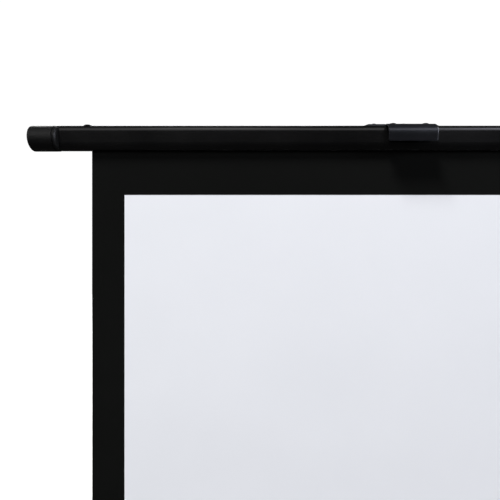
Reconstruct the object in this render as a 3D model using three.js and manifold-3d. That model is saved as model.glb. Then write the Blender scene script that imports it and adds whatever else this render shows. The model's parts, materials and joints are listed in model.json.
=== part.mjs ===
// Portable floor projector screen: a case with swivel feet, a spring roller, a folding lift with
// geared arms and a top bar that carries the fabric.
// Millimetres, +Z up, +X to the viewer's right, front towards -Y. The origin is on the floor below
// the middle of the fabric.
import * as THREE from "three";
import { mergeVertices } from "three/addons/utils/BufferGeometryUtils.js";
import Module from "manifold-3d";

const wasm = await Module();
wasm.setup();

// Fits
const clearance = 0.3; // between pieces that touch inside a turned group, or run on each other
const overrun = 5; // how far a cut runs past what it cuts

// Top bar
const barReach = 108.4; // from the fabric's edge to the bar's end, over its cap
const barDepth = 18.4; // front to back
const barHeight = 44.6;
const barFlatHeight = 22; // the straight front and back faces
const barFlatDepth = 6.4; // the straight top and bottom faces
const barWall = 1.6;
const barSlotWidth = 4; // opening in the underside, for the fabric
const barCapDiameter = 46.1;
const barCapLength = 47.6;
const barCapEdge = 2; // rounding round the outer end
const barCapGroove = 1.2; // depth of the groove near the mouth
const barCapGrooveWidth = 1.5;
const barCapGroovePlace = 3.5; // from the mouth to the groove
const barCapLip = 1.5; // chamfer at the mouth
const barCapSpigot = 14; // how far the cap's tongue reaches into the bar
const hemRodDiameter = 5;
const barScrewDiameter = 16;
const barScrewDome = 3.5;
const barScrewReach = 7; // from the fabric's edge out to the dome screw

// Hanger bracket and pull handle
const plateLength = 136;
const plateThickness = 3;
const plateSlope = 8; // how far the plate's ends lean
const handleWidth = 89;
const handleOffset = 15.5; // the pull handle's middle, right of the bar's middle
const handleThickness = 2.5;
const handleGap = 13.5; // fingers, between the handle and the bar's front
const handleDrop = 34.5; // from the handle's top to its lower edge
const handleEar = 29; // width of each mounting ear
const handleShoulder = 13; // radius of the curve over the front
const smallScrewDiameter = 9.5;
const smallScrewDome = 2.4;
const largeScrewDiameter = 15;
const largeScrewDome = 3.7;
const smallScrewSpan = 54.5; // between the two small screws
const smallScrewMiddle = 21.8; // their middle, left of the bar's middle
const largeScrewSpan = 60;
const screwFlange = 0.8; // straight rim under each dome
const screwShank = 4; // diameter of every screw's shank
const screwReach = 6; // how far a screw goes into what it holds to

// Fabric
const viewWidth = 1016; // white surface, four by three
const viewHeight = 762;
const sideBorder = 60; // black fabric on each side of the white surface
const fabricThickness = 0.5;
const viewDrop = 103.7; // from the bar's axis to the white surface
const viewSkin = 0.2; // thickness of the white layer

// Case
const caseDepth = 86;
const caseHeight = 86;
const caseWall = 2.2;
const caseCorner = 12;
const caseSlot = 20; // slot in the top
const caseLip = 9; // depth of the slot's inner lips
const caseCapThickness = 12;
const caseCapPlug = 10; // how far an end cap's rim reaches into the case
const caseCapEdge = 1.5; // rounding of the end caps' edges
const caseCapScrewDiameter = 8;
const caseCapScrewHead = 2.2;
const caseCapScrewReach = 22; // through the cap and into its boss
const bossDiameter = 9; // round end of the screw bosses in two of the case's corners
const bossInset = 9; // from the case's outer faces to the middle of a boss
const sealWidth = 5;

// Roller
const rollerDiameter = 30;
const rollerWall = 1.2;
const rollerEndGap = 6; // between the roller and the end caps
const rollerPlugLength = 30;
const axleDiameter = 8;
const windingThickness = 1.5; // fabric left on the roller when the screen is up
const springLength = 260;
const springWall = 2;

// Feet
const footLength = 420;
const footWidth = 34;
const footThickness = 14;
const footInset = 226; // from the case's end to the foot's pivot
const padHeight = 6;
const padLength = 46;
const mountHeight = 11;
const mountDiameter = 44;
const boltDiameter = 10;
const boltHeadDiameter = 20;
const boltHead = 5;
const boltReach = 6; // how far the bolt stands into the case

// Folding lift
const armLength = 600; // between pivots
const armRest = 74; // degrees above level when the screen is up
const armFolded = 4; // degrees above level when it is folded
const armWidth = 24;
const armThickness = 8;
const pivotSpan = 64; // between the left and right pivots, twice the gears' pitch radius
const pivotHeight = 46; // base pivots above the floor
const pivotDrop = 15; // top pivots below the bar's axis
const gearTeeth = 16; // on a full turn
const gearRootShare = 1.25; // of the gears' module, below the pitch circle
const gearTipShare = 0.8; // of the module, above the pitch circle
const toothRootShare = 0.95; // half a tooth's width at its root, of the module
const toothTipShare = 0.3;
const pinDiameter = 10;
const pinHeadDiameter = 17;
const pinHead = 3;
const washerDiameter = 26;
const washerThickness = 1.6;
const bracketThickness = 3;
const bracketWidth = 118;
const bracketHeight = 66;
const bracketEdge = 9; // from the bracket's edges to its screws
const bracketScrewDome = 1.4;
const bracketScrewRim = 0.4;
const elbowRadius = 16;
const elbowGap = 0.8; // between the lower and the upper arm

// Carry handle
const carrySpan = 130; // between the ears
const carryDrop = 44;
const carryRod = 8;
const gripDiameter = 18;
const gripLength = 84;
const earThickness = 8;
const earReach = 15; // from the case's front to the handle's axis
const earHeight = 24;
const earRadius = 8;
const carryBend = 7; // radius of the handle's corners
const carryHeightShare = 0.7; // the handle's axis, up the case's height

// Places worked out from the sizes
const fabricWidth = viewWidth + 2 * sideBorder;
const barLength = fabricWidth + 2 * barReach;
const degree = Math.PI / 180;
const sides = 32; // flats on a round piece
const cornerSteps = 5; // flats on a quarter of a round corner
const bendSteps = 12; // flats on a bend that is seen close
const armAngle = armRest * degree;
const footTop = padHeight + footThickness;
const caseBottom = footTop + clearance + mountHeight;
const caseTop = caseBottom + caseHeight;
const caseBack = caseDepth / 2;
const shellLength = barLength - 2 * caseCapThickness;
const elbowX = pivotSpan / 2 + armLength * Math.cos(armAngle);
const elbowHeight = pivotHeight + armLength * Math.sin(armAngle);
const topPivotHeight = pivotHeight + 2 * armLength * Math.sin(armAngle);
const barAxis = topPivotHeight + pivotDrop;
const barTop = barAxis + barHeight / 2;
const barBottom = barAxis - barHeight / 2;
const rollerRadius = rollerDiameter / 2;
const rollerY = rollerRadius + windingThickness + fabricThickness / 2 + clearance;
const rollerHeight = caseBottom + caseHeight / 2;
const rollerEnd = shellLength / 2 - caseCapPlug - rollerEndGap;
const lowerArmY = caseBack + bracketThickness + washerThickness + 2 * clearance;
const upperArmY = lowerArmY + armThickness + elbowGap;
const flangeY = upperArmY + armThickness + clearance;
const footX = barLength / 2 - footInset;

// Finishes
const finish = {
  blackPaint: { color: 0x161617, roughness: 0.42, metalness: 0.3 },
  blackPlastic: { color: 0x1b1b1c, roughness: 0.6, metalness: 0 },
  blackSteel: { color: 0x202124, roughness: 0.35, metalness: 0.7 },
  blackFabric: { color: 0x121211, roughness: 0.95, metalness: 0 },
  whiteFabric: { color: 0xeef0f4, roughness: 0.9, metalness: 0 },
  grayFabric: { color: 0x2a2a2a, roughness: 1, metalness: 0 },
  bareAluminium: { color: 0xb4b7ba, roughness: 0.4, metalness: 0.9 },
  bareSteel: { color: 0x9a9c9f, roughness: 0.35, metalness: 1 },
  whiteNylon: { color: 0xd9d9d2, roughness: 0.55, metalness: 0 },
  rubber: { color: 0x141414, roughness: 0.85, metalness: 0 },
};

const part = new THREE.Group();

// Adds one piece; a solid becomes a geometry first
function add(name, shape, look, owner = part) {
  const geometry = shape.isBufferGeometry ? shape : geometryOf(shape);
  const mesh = new THREE.Mesh(geometry, new THREE.MeshStandardMaterial(look));
  mesh.name = name;
  owner.add(mesh);
  return mesh;
}

// Closed geometry to solid
function solid(geometry) {
  const bare = geometry.clone();
  bare.deleteAttribute("normal");
  bare.deleteAttribute("uv");
  const merged = mergeVertices(bare);
  const whole = [];
  const index = merged.index.array;
  for (let i = 0; i < index.length; i += 3) {
    const [a, b, c] = index.slice(i, i + 3);
    if (a !== b && b !== c && c !== a) whole.push(a, b, c);
  }
  const vertProperties = merged.attributes.position.array;
  const triVerts = new Uint32Array(whole);
  return new wasm.Manifold(new wasm.Mesh({ numProp: 3, vertProperties, triVerts }));
}

// Solid to geometry
function geometryOf(body) {
  const mesh = body.getMesh();
  const geometry = new THREE.BufferGeometry();
  geometry.setAttribute("position", new THREE.BufferAttribute(mesh.vertProperties, 3));
  geometry.setIndex(new THREE.BufferAttribute(mesh.triVerts, 1));
  const flat = geometry.toNonIndexed();
  flat.computeVertexNormals();
  return flat;
}

// Numbers in rising order
const rising = (...values) => values.sort((a, b) => a - b);

const join = (...bodies) => bodies.reduce((sum, next) => sum.add(next));
const cut = (body, ...tools) => tools.reduce((rest, tool) => rest.subtract(tool), body);

// Block between two corners
function block(low, high) {
  const size = high.map((value, i) => value - low[i]);
  const middle = high.map((value, i) => (value + low[i]) / 2);
  return solid(new THREE.BoxGeometry(...size).translate(...middle));
}

// Geometry made along +Y, laid along an axis, with its start at a place on the other two axes
function laid(geometry, axis, start, u, v) {
  if (axis === "x") return geometry.rotateZ(-Math.PI / 2).translate(start, u, v);
  if (axis === "z") return geometry.rotateX(Math.PI / 2).translate(u, v, start);
  return geometry.translate(u, start, v);
}

// Round rod between two places on its axis
function rod(axis, diameter, from, to, u, v, flats = sides) {
  const length = to - from;
  const shape = new THREE.CylinderGeometry(diameter / 2, diameter / 2, length, flats);
  return solid(laid(shape.translate(0, length / 2, 0), axis, from, u, v));
}

// Turned body from [radius, height] points; way -1 points it down its axis
function turned(axis, profile, start, u, v, way = 1, flats = sides) {
  const points = profile.map(([radius, height]) => new THREE.Vector2(radius, height));
  const shape = new THREE.LatheGeometry(points, flats);
  if (way < 0) shape.rotateX(Math.PI);
  return solid(laid(shape, axis, start, u, v));
}

// Turns a shape drawn in X-Y and drawn out along Z so that it lies in Y-Z and runs along X
const ontoX = new THREE.Matrix4().makeBasis(
  new THREE.Vector3(0, 1, 0), new THREE.Vector3(0, 0, 1), new THREE.Vector3(1, 0, 0));

// Outline with a straight depth, as it is drawn
function drawnOut(outline, depth, curveSegments = cornerSteps) {
  return new THREE.ExtrudeGeometry(outline, { depth, bevelEnabled: false, curveSegments });
}

// Outline in the Y-Z plane, drawn out along X
function alongX(outline, from, to, steps) {
  return solid(drawnOut(outline, to - from, steps).applyMatrix4(ontoX).translate(from, 0, 0));
}

// Outline in the X-Z plane, drawn out along Y
function alongY(outline, from, to) {
  return solid(drawnOut(outline, to - from).rotateX(Math.PI / 2).translate(0, to, 0));
}

// Outline in the X-Y plane, drawn out along Z
function alongZ(outline, from, to) {
  return solid(drawnOut(outline, to - from).translate(0, 0, from));
}

const outlineOf = (points) => new THREE.Shape(points.map(([x, y]) => new THREE.Vector2(x, y)));

// Rectangle with round corners
function roundedOutline(left, low, right, high, radius) {
  const outline = new THREE.Shape();
  outline.absarc(right - radius, low + radius, radius, -Math.PI / 2, 0);
  outline.absarc(right - radius, high - radius, radius, 0, Math.PI / 2);
  outline.absarc(left + radius, high - radius, radius, Math.PI / 2, Math.PI);
  outline.absarc(left + radius, low + radius, radius, Math.PI, Math.PI * 1.5);
  return outline;
}

// The bar's octagon, drawn in by a distance
function barOutline(inset, height) {
  const slope = Math.atan2((barHeight - barFlatHeight) / 2, (barDepth - barFlatDepth) / 2);
  const y = barDepth / 2 - inset;
  const z = barHeight / 2 - inset;
  const sideZ = barFlatHeight / 2 - inset * Math.tan((Math.PI / 2 - slope) / 2);
  const topY = barFlatDepth / 2 - inset * Math.tan(slope / 2);
  const corner = [[y, -sideZ], [y, sideZ], [topY, z], [-topY, z]];
  const rest = [[-y, sideZ], [-y, -sideZ], [-topY, -z], [topY, -z]];
  return outlineOf([...corner, ...rest].map(([a, b]) => [a, b + height]));
}

// Half ellipse from a rim to a pole, as [radius, height] points
function domeProfile(radius, height, steps = 4) {
  const profile = [];
  for (let i = 0; i <= steps; i++) {
    const turn = (i / steps) * Math.PI / 2;
    profile.push([i === steps ? 0 : radius * Math.cos(turn), height * Math.sin(turn)]);
  }
  return profile;
}

// Screw with a domed head, as [radius, height] points from the shank's tip; the head's seat is at 0
function screwProfile(diameter, dome, reach, rim = screwFlange) {
  const head = domeProfile(diameter / 2, dome - rim).map(([radius, height]) => [radius, height + rim]);
  return [[0, -reach], [screwShank / 2, -reach], [screwShank / 2, 0], [diameter / 2, 0], ...head];
}

// Rod that cuts the hole a screw's shank or a pin runs in
const holeFor = (axis, diameter, from, to, u, v) =>
  rod(axis, diameter + 2 * clearance, from - overrun, to + overrun, u, v, 16);

const sideNames = [["left", -1], ["right", 1]];
const smallScrewPlaces = [-1, 1].map((way) => (way * smallScrewSpan) / 2 - smallScrewMiddle);
const largeScrewPlaces = [-1, 1].map((way) => (way * largeScrewSpan) / 2 + handleOffset);
const domeScrewX = fabricWidth / 2 + barScrewReach;

// Top bar, its end caps, the hem rod and the dome screws at the fabric's edges
function topBar() {
  const half = barLength / 2 - barCapLength;
  const tube = alongX(barOutline(0, barAxis), -half, half);
  const hollow = alongX(barOutline(barWall, barAxis), -half - overrun, half + overrun);
  const slot = block(
    [-half - overrun, -barSlotWidth / 2, barBottom - overrun],
    [half + overrun, barSlotWidth / 2, barBottom + 2 * barWall]);
  const holes = [-domeScrewX, ...smallScrewPlaces, ...largeScrewPlaces, domeScrewX].map((x) =>
    rod("z", screwShank + 2 * clearance, barTop - 2 * barWall, barTop + overrun, x, 0, 20));
  add("top_bar", cut(tube, hollow, slot, ...holes), finish.blackPaint);

  const rodHeight = barBottom + barWall + clearance + hemRodDiameter / 2;
  const hem = rod("x", hemRodDiameter, -fabricWidth / 2, fabricWidth / 2, 0, rodHeight, 16);
  add("hem_rod", hem, finish.bareAluminium);

  for (const [side, way] of sideNames) {
    const screw = screwProfile(barScrewDiameter, barScrewDome, screwReach);
    add(`bar_screw_${side}`, turned("z", screw, barTop, way * domeScrewX, 0, 1, 20), finish.blackSteel);
    add(`bar_end_cap_${side}`, barEndCap(half, way), finish.blackPlastic);
  }
}

// Round end cap with a groove near its mouth and a tongue that plugs into the bar
function barEndCap(mouth, way) {
  const radius = barCapDiameter / 2;
  const grooveEnd = barCapGroovePlace + barCapGrooveWidth;
  const edge = [];
  for (let step = 0; step <= 4; step++) {
    const turn = (step / 4) * Math.PI / 2;
    const inward = barCapEdge * (1 - Math.cos(turn));
    edge.push([radius - inward, barCapLength - barCapEdge * (1 - Math.sin(turn))]);
  }
  const profile = [
    [0, 0], [radius - barCapLip, 0], [radius, barCapLip], [radius, barCapGroovePlace],
    [radius - barCapGroove, barCapGroovePlace], [radius - barCapGroove, grooveEnd],
    [radius, grooveEnd], ...edge, [0, barCapLength],
  ];
  const cap = turned("x", profile, way * mouth, 0, barAxis, way, 40);
  const ends = rising(way * (mouth - barCapSpigot), way * (mouth + barCapSpigot));
  return join(cap, alongX(barOutline(barWall + clearance, barAxis), ...ends));
}

// Bracket that carries the bar on the lift: a plate on the bar and a flange behind the arms
function hangerBracket() {
  const half = plateLength / 2;
  const top = barTop + plateThickness;
  const plate = alongY(
    outlineOf([[-half, barTop], [half, barTop], [half - plateSlope, top], [-half + plateSlope, top]]),
    -barDepth / 2, flangeY + bracketThickness);
  const flangeHalf = pivotSpan / 2 + armWidth;
  const flange = block(
    [-flangeHalf, flangeY, topPivotHeight - pinHeadDiameter],
    [flangeHalf, flangeY + bracketThickness, top]);
  const notches = largeScrewPlaces.map((x) => block(
    [x - handleEar / 2 - clearance, -barDepth / 2 - overrun, barTop - overrun],
    [x + handleEar / 2 + clearance, barDepth / 2 + clearance, top + overrun]));
  const screwHoles = smallScrewPlaces.map((x) => holeFor("z", screwShank, barTop, top, x, 0));
  const flangeBack = flangeY + bracketThickness;
  const pinHoles = [-1, 1].map((way) =>
    holeFor("y", pinDiameter, flangeY, flangeBack, (way * pivotSpan) / 2, topPivotHeight));
  const shape = cut(join(plate, flange), ...notches, ...screwHoles, ...pinHoles);
  add("hanger_bracket", shape, finish.blackSteel);

  smallScrewPlaces.forEach((x, i) => {
    const screw = screwProfile(smallScrewDiameter, smallScrewDome, screwReach + plateThickness);
    add(`hanger_screw_${sideNames[i][0]}`, turned("z", screw, top, x, 0, 1, 14), finish.blackSteel);
  });
  for (const [side, way] of sideNames) {
    const start = upperArmY - clearance - pinHead;
    const profile = pinProfile(flangeBack - start);
    const pin = turned("y", profile, start, (way * pivotSpan) / 2, topPivotHeight, 1, 16);
    add(`top_pivot_pin_${side}`, pin, finish.bareSteel);
  }
}

// Pin with a head at its start and, for a rivet, one at its end, as [radius, height] points
function pinProfile(length, riveted = false) {
  const shank = pinDiameter / 2;
  const head = pinHeadDiameter / 2;
  const end = riveted
    ? [[shank, length - pinHead], [head, length - pinHead], [head, length], [0, length]]
    : [[shank, length], [0, length]];
  return [[0, 0], [head, 0], [head, pinHead], [shank, pinHead], ...end];
}

// Pull handle that reaches over the bar's front, on two ears, with its screws
function pullHandle() {
  const top = barTop + handleThickness;
  const front = -(barDepth / 2 + handleGap + handleThickness);
  const low = top - handleDrop;
  const bend = front + handleShoulder;
  const inner = front + handleThickness;
  const middle = top - handleShoulder;
  const innerRadius = handleShoulder - handleThickness;
  const outline = new THREE.Shape();
  outline.moveTo(barDepth / 2, top);
  outline.lineTo(bend, top);
  outline.absarc(bend, middle, handleShoulder, Math.PI / 2, Math.PI, false);
  outline.lineTo(front, low);
  outline.lineTo(inner, low);
  outline.absarc(bend, middle, innerRadius, Math.PI, Math.PI / 2, true);
  outline.lineTo(barDepth / 2, barTop);
  const left = handleOffset - handleWidth / 2;
  const right = handleOffset + handleWidth / 2;
  const gap = block(
    [left + handleEar, -barDepth / 2 - clearance, barTop - overrun],
    [right - handleEar, barDepth / 2 + overrun, top + overrun]);
  const holes = largeScrewPlaces.map((x) => holeFor("z", screwShank, barTop, top, x, 0));
  const shape = cut(alongX(outline, left, right, bendSteps), gap, ...holes);
  add("pull_handle", shape, finish.blackSteel);

  largeScrewPlaces.forEach((x, i) => {
    const screw = screwProfile(largeScrewDiameter, largeScrewDome, screwReach + handleThickness);
    add(`handle_screw_${sideNames[i][0]}`, turned("z", screw, top, x, 0, 1, 20), finish.blackSteel);
  });
}

// Black fabric from the roller to the bar, and the white surface on its front
function screen() {
  const half = fabricThickness / 2;
  const edge = fabricWidth / 2;
  const sheet = block([-edge, -half, rollerHeight], [edge, half, barBottom + barWall]);
  add("screen_fabric", sheet, finish.blackFabric);
  const viewTop = barAxis - viewDrop;
  const view = block(
    [-viewWidth / 2, -half - viewSkin, viewTop - viewHeight], [viewWidth / 2, -half, viewTop]);
  add("screen_surface", view, finish.whiteFabric);
}

// Tube between two places on its axis
function ring(axis, outer, inner, from, to, u, v, flats = sides) {
  const bore = rod(axis, inner, from - overrun, to + overrun, u, v, 16);
  return cut(rod(axis, outer, from, to, u, v, flats), bore);
}

// Outline of the case, drawn in by a distance
const caseOutline = (inset) => roundedOutline(
  -caseBack + inset, caseBottom + inset, caseBack - inset, caseTop - inset, caseCorner - inset);

const bossPlaces = [
  [-caseBack + bossInset, caseBottom + bossInset],
  [caseBack - bossInset, caseTop - bossInset],
];

// Screw boss that fills a corner of the case, with a round end; margin makes it larger all round
function boss([y, z], from, to, margin) {
  const round = rod("x", bossDiameter + 2 * margin, from, to, y, z, 20);
  const reach = bossDiameter / 2 + margin;
  const out = Math.sign(y);
  const [front, back] = rising(y - out * reach, out * caseBack);
  const [low, high] = rising(z, z + out * bossInset);
  const [inner, outer] = rising(y, out * caseBack);
  const [bottom, top] = rising(z - out * reach, z + out * bossInset);
  return join(round, block([from, front, low], [to, back, high]),
    block([from, inner, bottom], [to, outer, top]));
}
const bracketScrewPlaces = [-1, 1].map((way) =>
  [way * (bracketWidth / 2 - bracketEdge), caseBottom + bracketHeight - bracketEdge]);

// Case: the extruded shell with its slot, lips and screw bosses, and the pile seals
function caseShell() {
  const half = shellLength / 2;
  const outside = alongX(caseOutline(0), -half, half);
  const inside = alongX(caseOutline(caseWall), -half - overrun, half + overrun);
  const lipEdge = caseSlot / 2 + caseWall;
  const lips = block([-half, -lipEdge, caseTop - caseLip], [half, lipEdge, caseTop - caseWall / 2]);
  const bosses = bossPlaces.map((place) => boss(place, -half, half, 0).intersect(outside));
  const slot = block(
    [-half - overrun, -caseSlot / 2, caseTop - caseLip - overrun],
    [half + overrun, caseSlot / 2, caseTop + overrun]);
  const bossHoles = bossPlaces.map(([y, z]) =>
    rod("x", screwShank + 2 * clearance, -half - overrun, half + overrun, y, z, 16));
  const boltHoles = [-1, 1].map((way) =>
    holeFor("z", boltDiameter, caseBottom, caseBottom + caseWall, way * footX, 0));
  const backHoles = bracketScrewPlaces.map(([x, z]) =>
    holeFor("y", screwShank, caseBack - caseWall, caseBack, x, z));
  const shape = cut(join(cut(outside, inside), lips, ...bosses), slot, ...bossHoles, ...boltHoles, ...backHoles);
  add("case_shell", shape, finish.blackPaint);

  const sealEnd = half - caseCapPlug - clearance;
  for (const [name, way] of [["front", -1], ["rear", 1]]) {
    const [near, far] = rising((way * caseSlot) / 2, way * (caseSlot / 2 - sealWidth));
    const seal = block([-sealEnd, near, caseTop - caseLip], [sealEnd, far, caseTop]);
    add(`slot_seal_${name}`, seal, finish.grayFabric);
  }
}

// End cap of the case with a plug that fits inside the shell, and its two screws
function caseEnd(side, way) {
  const mouth = shellLength / 2;
  const face = barLength / 2;
  const shape = new THREE.ExtrudeGeometry(caseOutline(caseCapEdge), {
    depth: caseCapThickness - 2 * caseCapEdge, bevelEnabled: true, bevelSegments: 1,
    bevelSize: caseCapEdge, bevelThickness: caseCapEdge, curveSegments: 4,
  });
  const start = Math.min(way * mouth, way * face) + caseCapEdge;
  const cover = solid(shape.applyMatrix4(ontoX).translate(start, 0, 0));
  const middle = way * (mouth + caseCapThickness / 2);
  const [low, high] = rising(way * (mouth - caseCapPlug), middle);
  const slotRoom = caseSlot / 2 + caseWall + clearance;
  const slotBottom = caseTop - caseLip - clearance;
  const room = [low - overrun, high + overrun];
  const plug = cut(
    alongX(caseOutline(caseWall + clearance), low, high),
    block([room[0], -slotRoom, slotBottom], [room[1], slotRoom, caseTop + overrun]),
    ...bossPlaces.map((place) => boss(place, ...room, clearance)));
  const holeEnds = rising(way * (mouth - caseCapPlug - overrun), middle);
  const bore = axleDiameter + 2 * clearance;
  const axleHole = rod("x", bore, ...holeEnds, rollerY, rollerHeight, 24);
  const screwEnds = rising(way * mouth, way * face);
  const screwHoles = bossPlaces.map(([y, z]) => holeFor("x", screwShank, ...screwEnds, y, z));
  const cap = cut(join(cover, plug), axleHole, ...screwHoles);
  add(`case_end_cap_${side}`, cap, finish.blackPlastic);
  bossPlaces.forEach(([y, z], i) => {
    const profile = screwProfile(caseCapScrewDiameter, caseCapScrewHead, caseCapScrewReach);
    const screw = turned("x", profile, way * face, y, z, way, 12);
    add(`case_screw_${side}_${["front", "rear"][i]}`, screw, finish.blackSteel);
  });
}

// Spring roller on its two axles, with what is left of the fabric wound on it
function roller() {
  const at = [rollerY, rollerHeight];
  const bore = axleDiameter + 2 * clearance;
  const inside = rollerDiameter - 2 * rollerWall;
  const tube = ring("x", rollerDiameter, inside, -rollerEnd, rollerEnd, ...at);
  add("roller_tube", tube, finish.bareAluminium);
  const wound = ring("x", rollerDiameter + 2 * windingThickness, rollerDiameter + 2 * clearance,
    -fabricWidth / 2, fabricWidth / 2, ...at);
  add("wound_fabric", wound, finish.blackFabric);
  const capHole = barLength / 2 - caseCapThickness / 2;
  const plugInner = rollerEnd - rollerPlugLength;
  const springEnd = plugInner - clearance - springLength;
  for (const [side, way] of sideNames) {
    const plugEnds = rising(way * plugInner, way * rollerEnd);
    const plug = ring("x", inside - 2 * clearance, bore, ...plugEnds, ...at);
    add(`roller_plug_${side}`, plug, finish.whiteNylon);
    const inner = way < 0 ? springEnd : plugInner;
    const axleEnds = rising(way * inner, way * (capHole - clearance));
    add(`roller_axle_${side}`, rod("x", axleDiameter, ...axleEnds, ...at, 24), finish.bareSteel);
  }
  const spring = ring("x", bore + 2 * springWall, bore, clearance - plugInner, -springEnd, ...at, 24);
  add("roller_spring", spring, finish.bareSteel);
}

// Swivel foot under the case with its mount, bolt and two rubber pads
function foot(side, way) {
  const x = way * footX;
  const bore = boltDiameter + 2 * clearance;
  const mount = ring("z", mountDiameter, bore, footTop + clearance, caseBottom, x, 0);
  add(`foot_mount_${side}`, mount, finish.blackPlastic);
  const half = footWidth / 2;
  const outline = roundedOutline(
    x - half, -footLength / 2, x + half, footLength / 2, half - clearance);
  const sink = rod("z", boltHeadDiameter + 4 * clearance, padHeight - overrun,
    padHeight + boltHead + 2 * clearance, x, 0, 28);
  const hole = holeFor("z", boltDiameter, padHeight, footTop, x, 0);
  add(`foot_${side}`, cut(alongZ(outline, padHeight, footTop), sink, hole), finish.blackPaint);
  const length = caseBottom + boltReach - padHeight - clearance;
  const bolt = [
    [0, 0], [boltHeadDiameter / 2, 0], [boltHeadDiameter / 2, boltHead],
    [boltDiameter / 2, boltHead], [boltDiameter / 2, length], [0, length],
  ];
  add(`foot_bolt_${side}`, turned("z", bolt, padHeight + clearance, x, 0, 1, 16), finish.bareSteel);
  for (const [name, toward] of [["front", -1], ["rear", 1]]) {
    const far = footLength / 2 - footWidth / 4;
    const [near, end] = rising(toward * far, toward * (far - padLength));
    const padHalf = half - padHeight / 2;
    const pad = roundedOutline(x - padHalf, near, x + padHalf, end, padHeight);
    add(`foot_pad_${side}_${name}`, alongZ(pad, 0, padHeight), finish.rubber);
  }
}

// Lift arm with a geared end at its origin, its other pivot out along +X; hand -1 mirrors the teeth,
// and the phase moves them by a share of a tooth
function liftArm(hand, phase) {
  const module = pivotSpan / gearTeeth;
  const root = pivotSpan / 2 - gearRootShare * module;
  const tip = pivotSpan / 2 + gearTipShare * module;
  const step = (2 * Math.PI) / gearTeeth;
  const travel = (armRest - armFolded) * degree;
  const first = -Math.round(travel / step + 1 / 2);
  const last = 1 - 2 * phase;
  const teeth = [];
  for (let k = first; k <= last; k++) {
    const angle = hand * ((k + phase) * step - Math.PI + armAngle);
    const corners = [
      [root - module, -toothRootShare * module], [root, -toothRootShare * module],
      [tip, -toothTipShare * module], [tip, toothTipShare * module],
      [root, toothRootShare * module], [root - module, toothRootShare * module],
    ];
    const [c, s] = [Math.cos(angle), Math.sin(angle)];
    const tooth = corners.map(([x, z]) => [x * c - z * s, x * s + z * c]);
    teeth.push(alongY(outlineOf(tooth), 0, armThickness));
  }
  const hub = rod("y", 2 * root, 0, armThickness, 0, 0);
  const bar = block([0, 0, -armWidth / 2], [armLength, armThickness, armWidth / 2]);
  const elbow = rod("y", 2 * elbowRadius, 0, armThickness, armLength, 0, 28);
  const holes = [0, armLength].map((x) => holeFor("y", pinDiameter, 0, armThickness, x, 0));
  return cut(join(hub, bar, elbow, ...teeth), ...holes);
}

// Folding lift: the base bracket on the case and, on each side, a lower and an upper arm
function lift() {
  const back = caseBack + bracketThickness;
  const plateHalf = bracketWidth / 2;
  const plate = block(
    [-plateHalf, caseBack, caseBottom], [plateHalf, back, caseBottom + bracketHeight]);
  const pinHoles = [-1, 1].map((way) =>
    holeFor("y", pinDiameter, caseBack, back, (way * pivotSpan) / 2, pivotHeight));
  const screwHoles = bracketScrewPlaces.map(([x, z]) => holeFor("y", screwShank, caseBack, back, x, z));
  add("base_bracket", cut(plate, ...pinHoles, ...screwHoles), finish.blackSteel);
  bracketScrewPlaces.forEach(([x, z], i) => {
    const profile = screwProfile(
      smallScrewDiameter, bracketScrewDome, screwReach, bracketScrewRim);
    const screw = turned("y", profile, back, x, z, 1, 12);
    add(`bracket_screw_${sideNames[i][0]}`, screw, finish.blackSteel);
  });

  const washerBore = pinDiameter + 2 * clearance;
  for (const [side, way] of sideNames) {
    const x = (way * pivotSpan) / 2;
    const phase = way < 0 ? 0 : 1 / 2;
    const lower = add(`lower_arm_${side}`, liftArm(-way, phase), finish.blackSteel);
    lower.position.set(x, lowerArmY, pivotHeight);
    lower.rotation.y = way < 0 ? armAngle - Math.PI : -armAngle;
    const upper = add(`upper_arm_${side}`, liftArm(way, phase), finish.blackSteel);
    upper.position.set(x, upperArmY, topPivotHeight);
    upper.rotation.y = way < 0 ? Math.PI - armAngle : armAngle;

    const washerEnds = [back + clearance, back + clearance + washerThickness];
    const washer = ring("y", washerDiameter, washerBore, ...washerEnds, x, pivotHeight, 24);
    add(`base_washer_${side}`, washer, finish.whiteNylon);
    const pinStart = lowerArmY + armThickness + clearance + pinHead;
    const pin = turned("y", pinProfile(pinStart - caseBack), pinStart, x, pivotHeight, -1, 16);
    add(`base_pivot_pin_${side}`, pin, finish.bareSteel);

    const rivetStart = lowerArmY - clearance - pinHead;
    const rivetLength = upperArmY + armThickness + clearance + pinHead - rivetStart;
    const profile = pinProfile(rivetLength, true);
    const rivet = turned("y", profile, rivetStart, way * elbowX, elbowHeight, 1, 16);
    add(`elbow_pin_${side}`, rivet, finish.bareSteel);
  }
}

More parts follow.
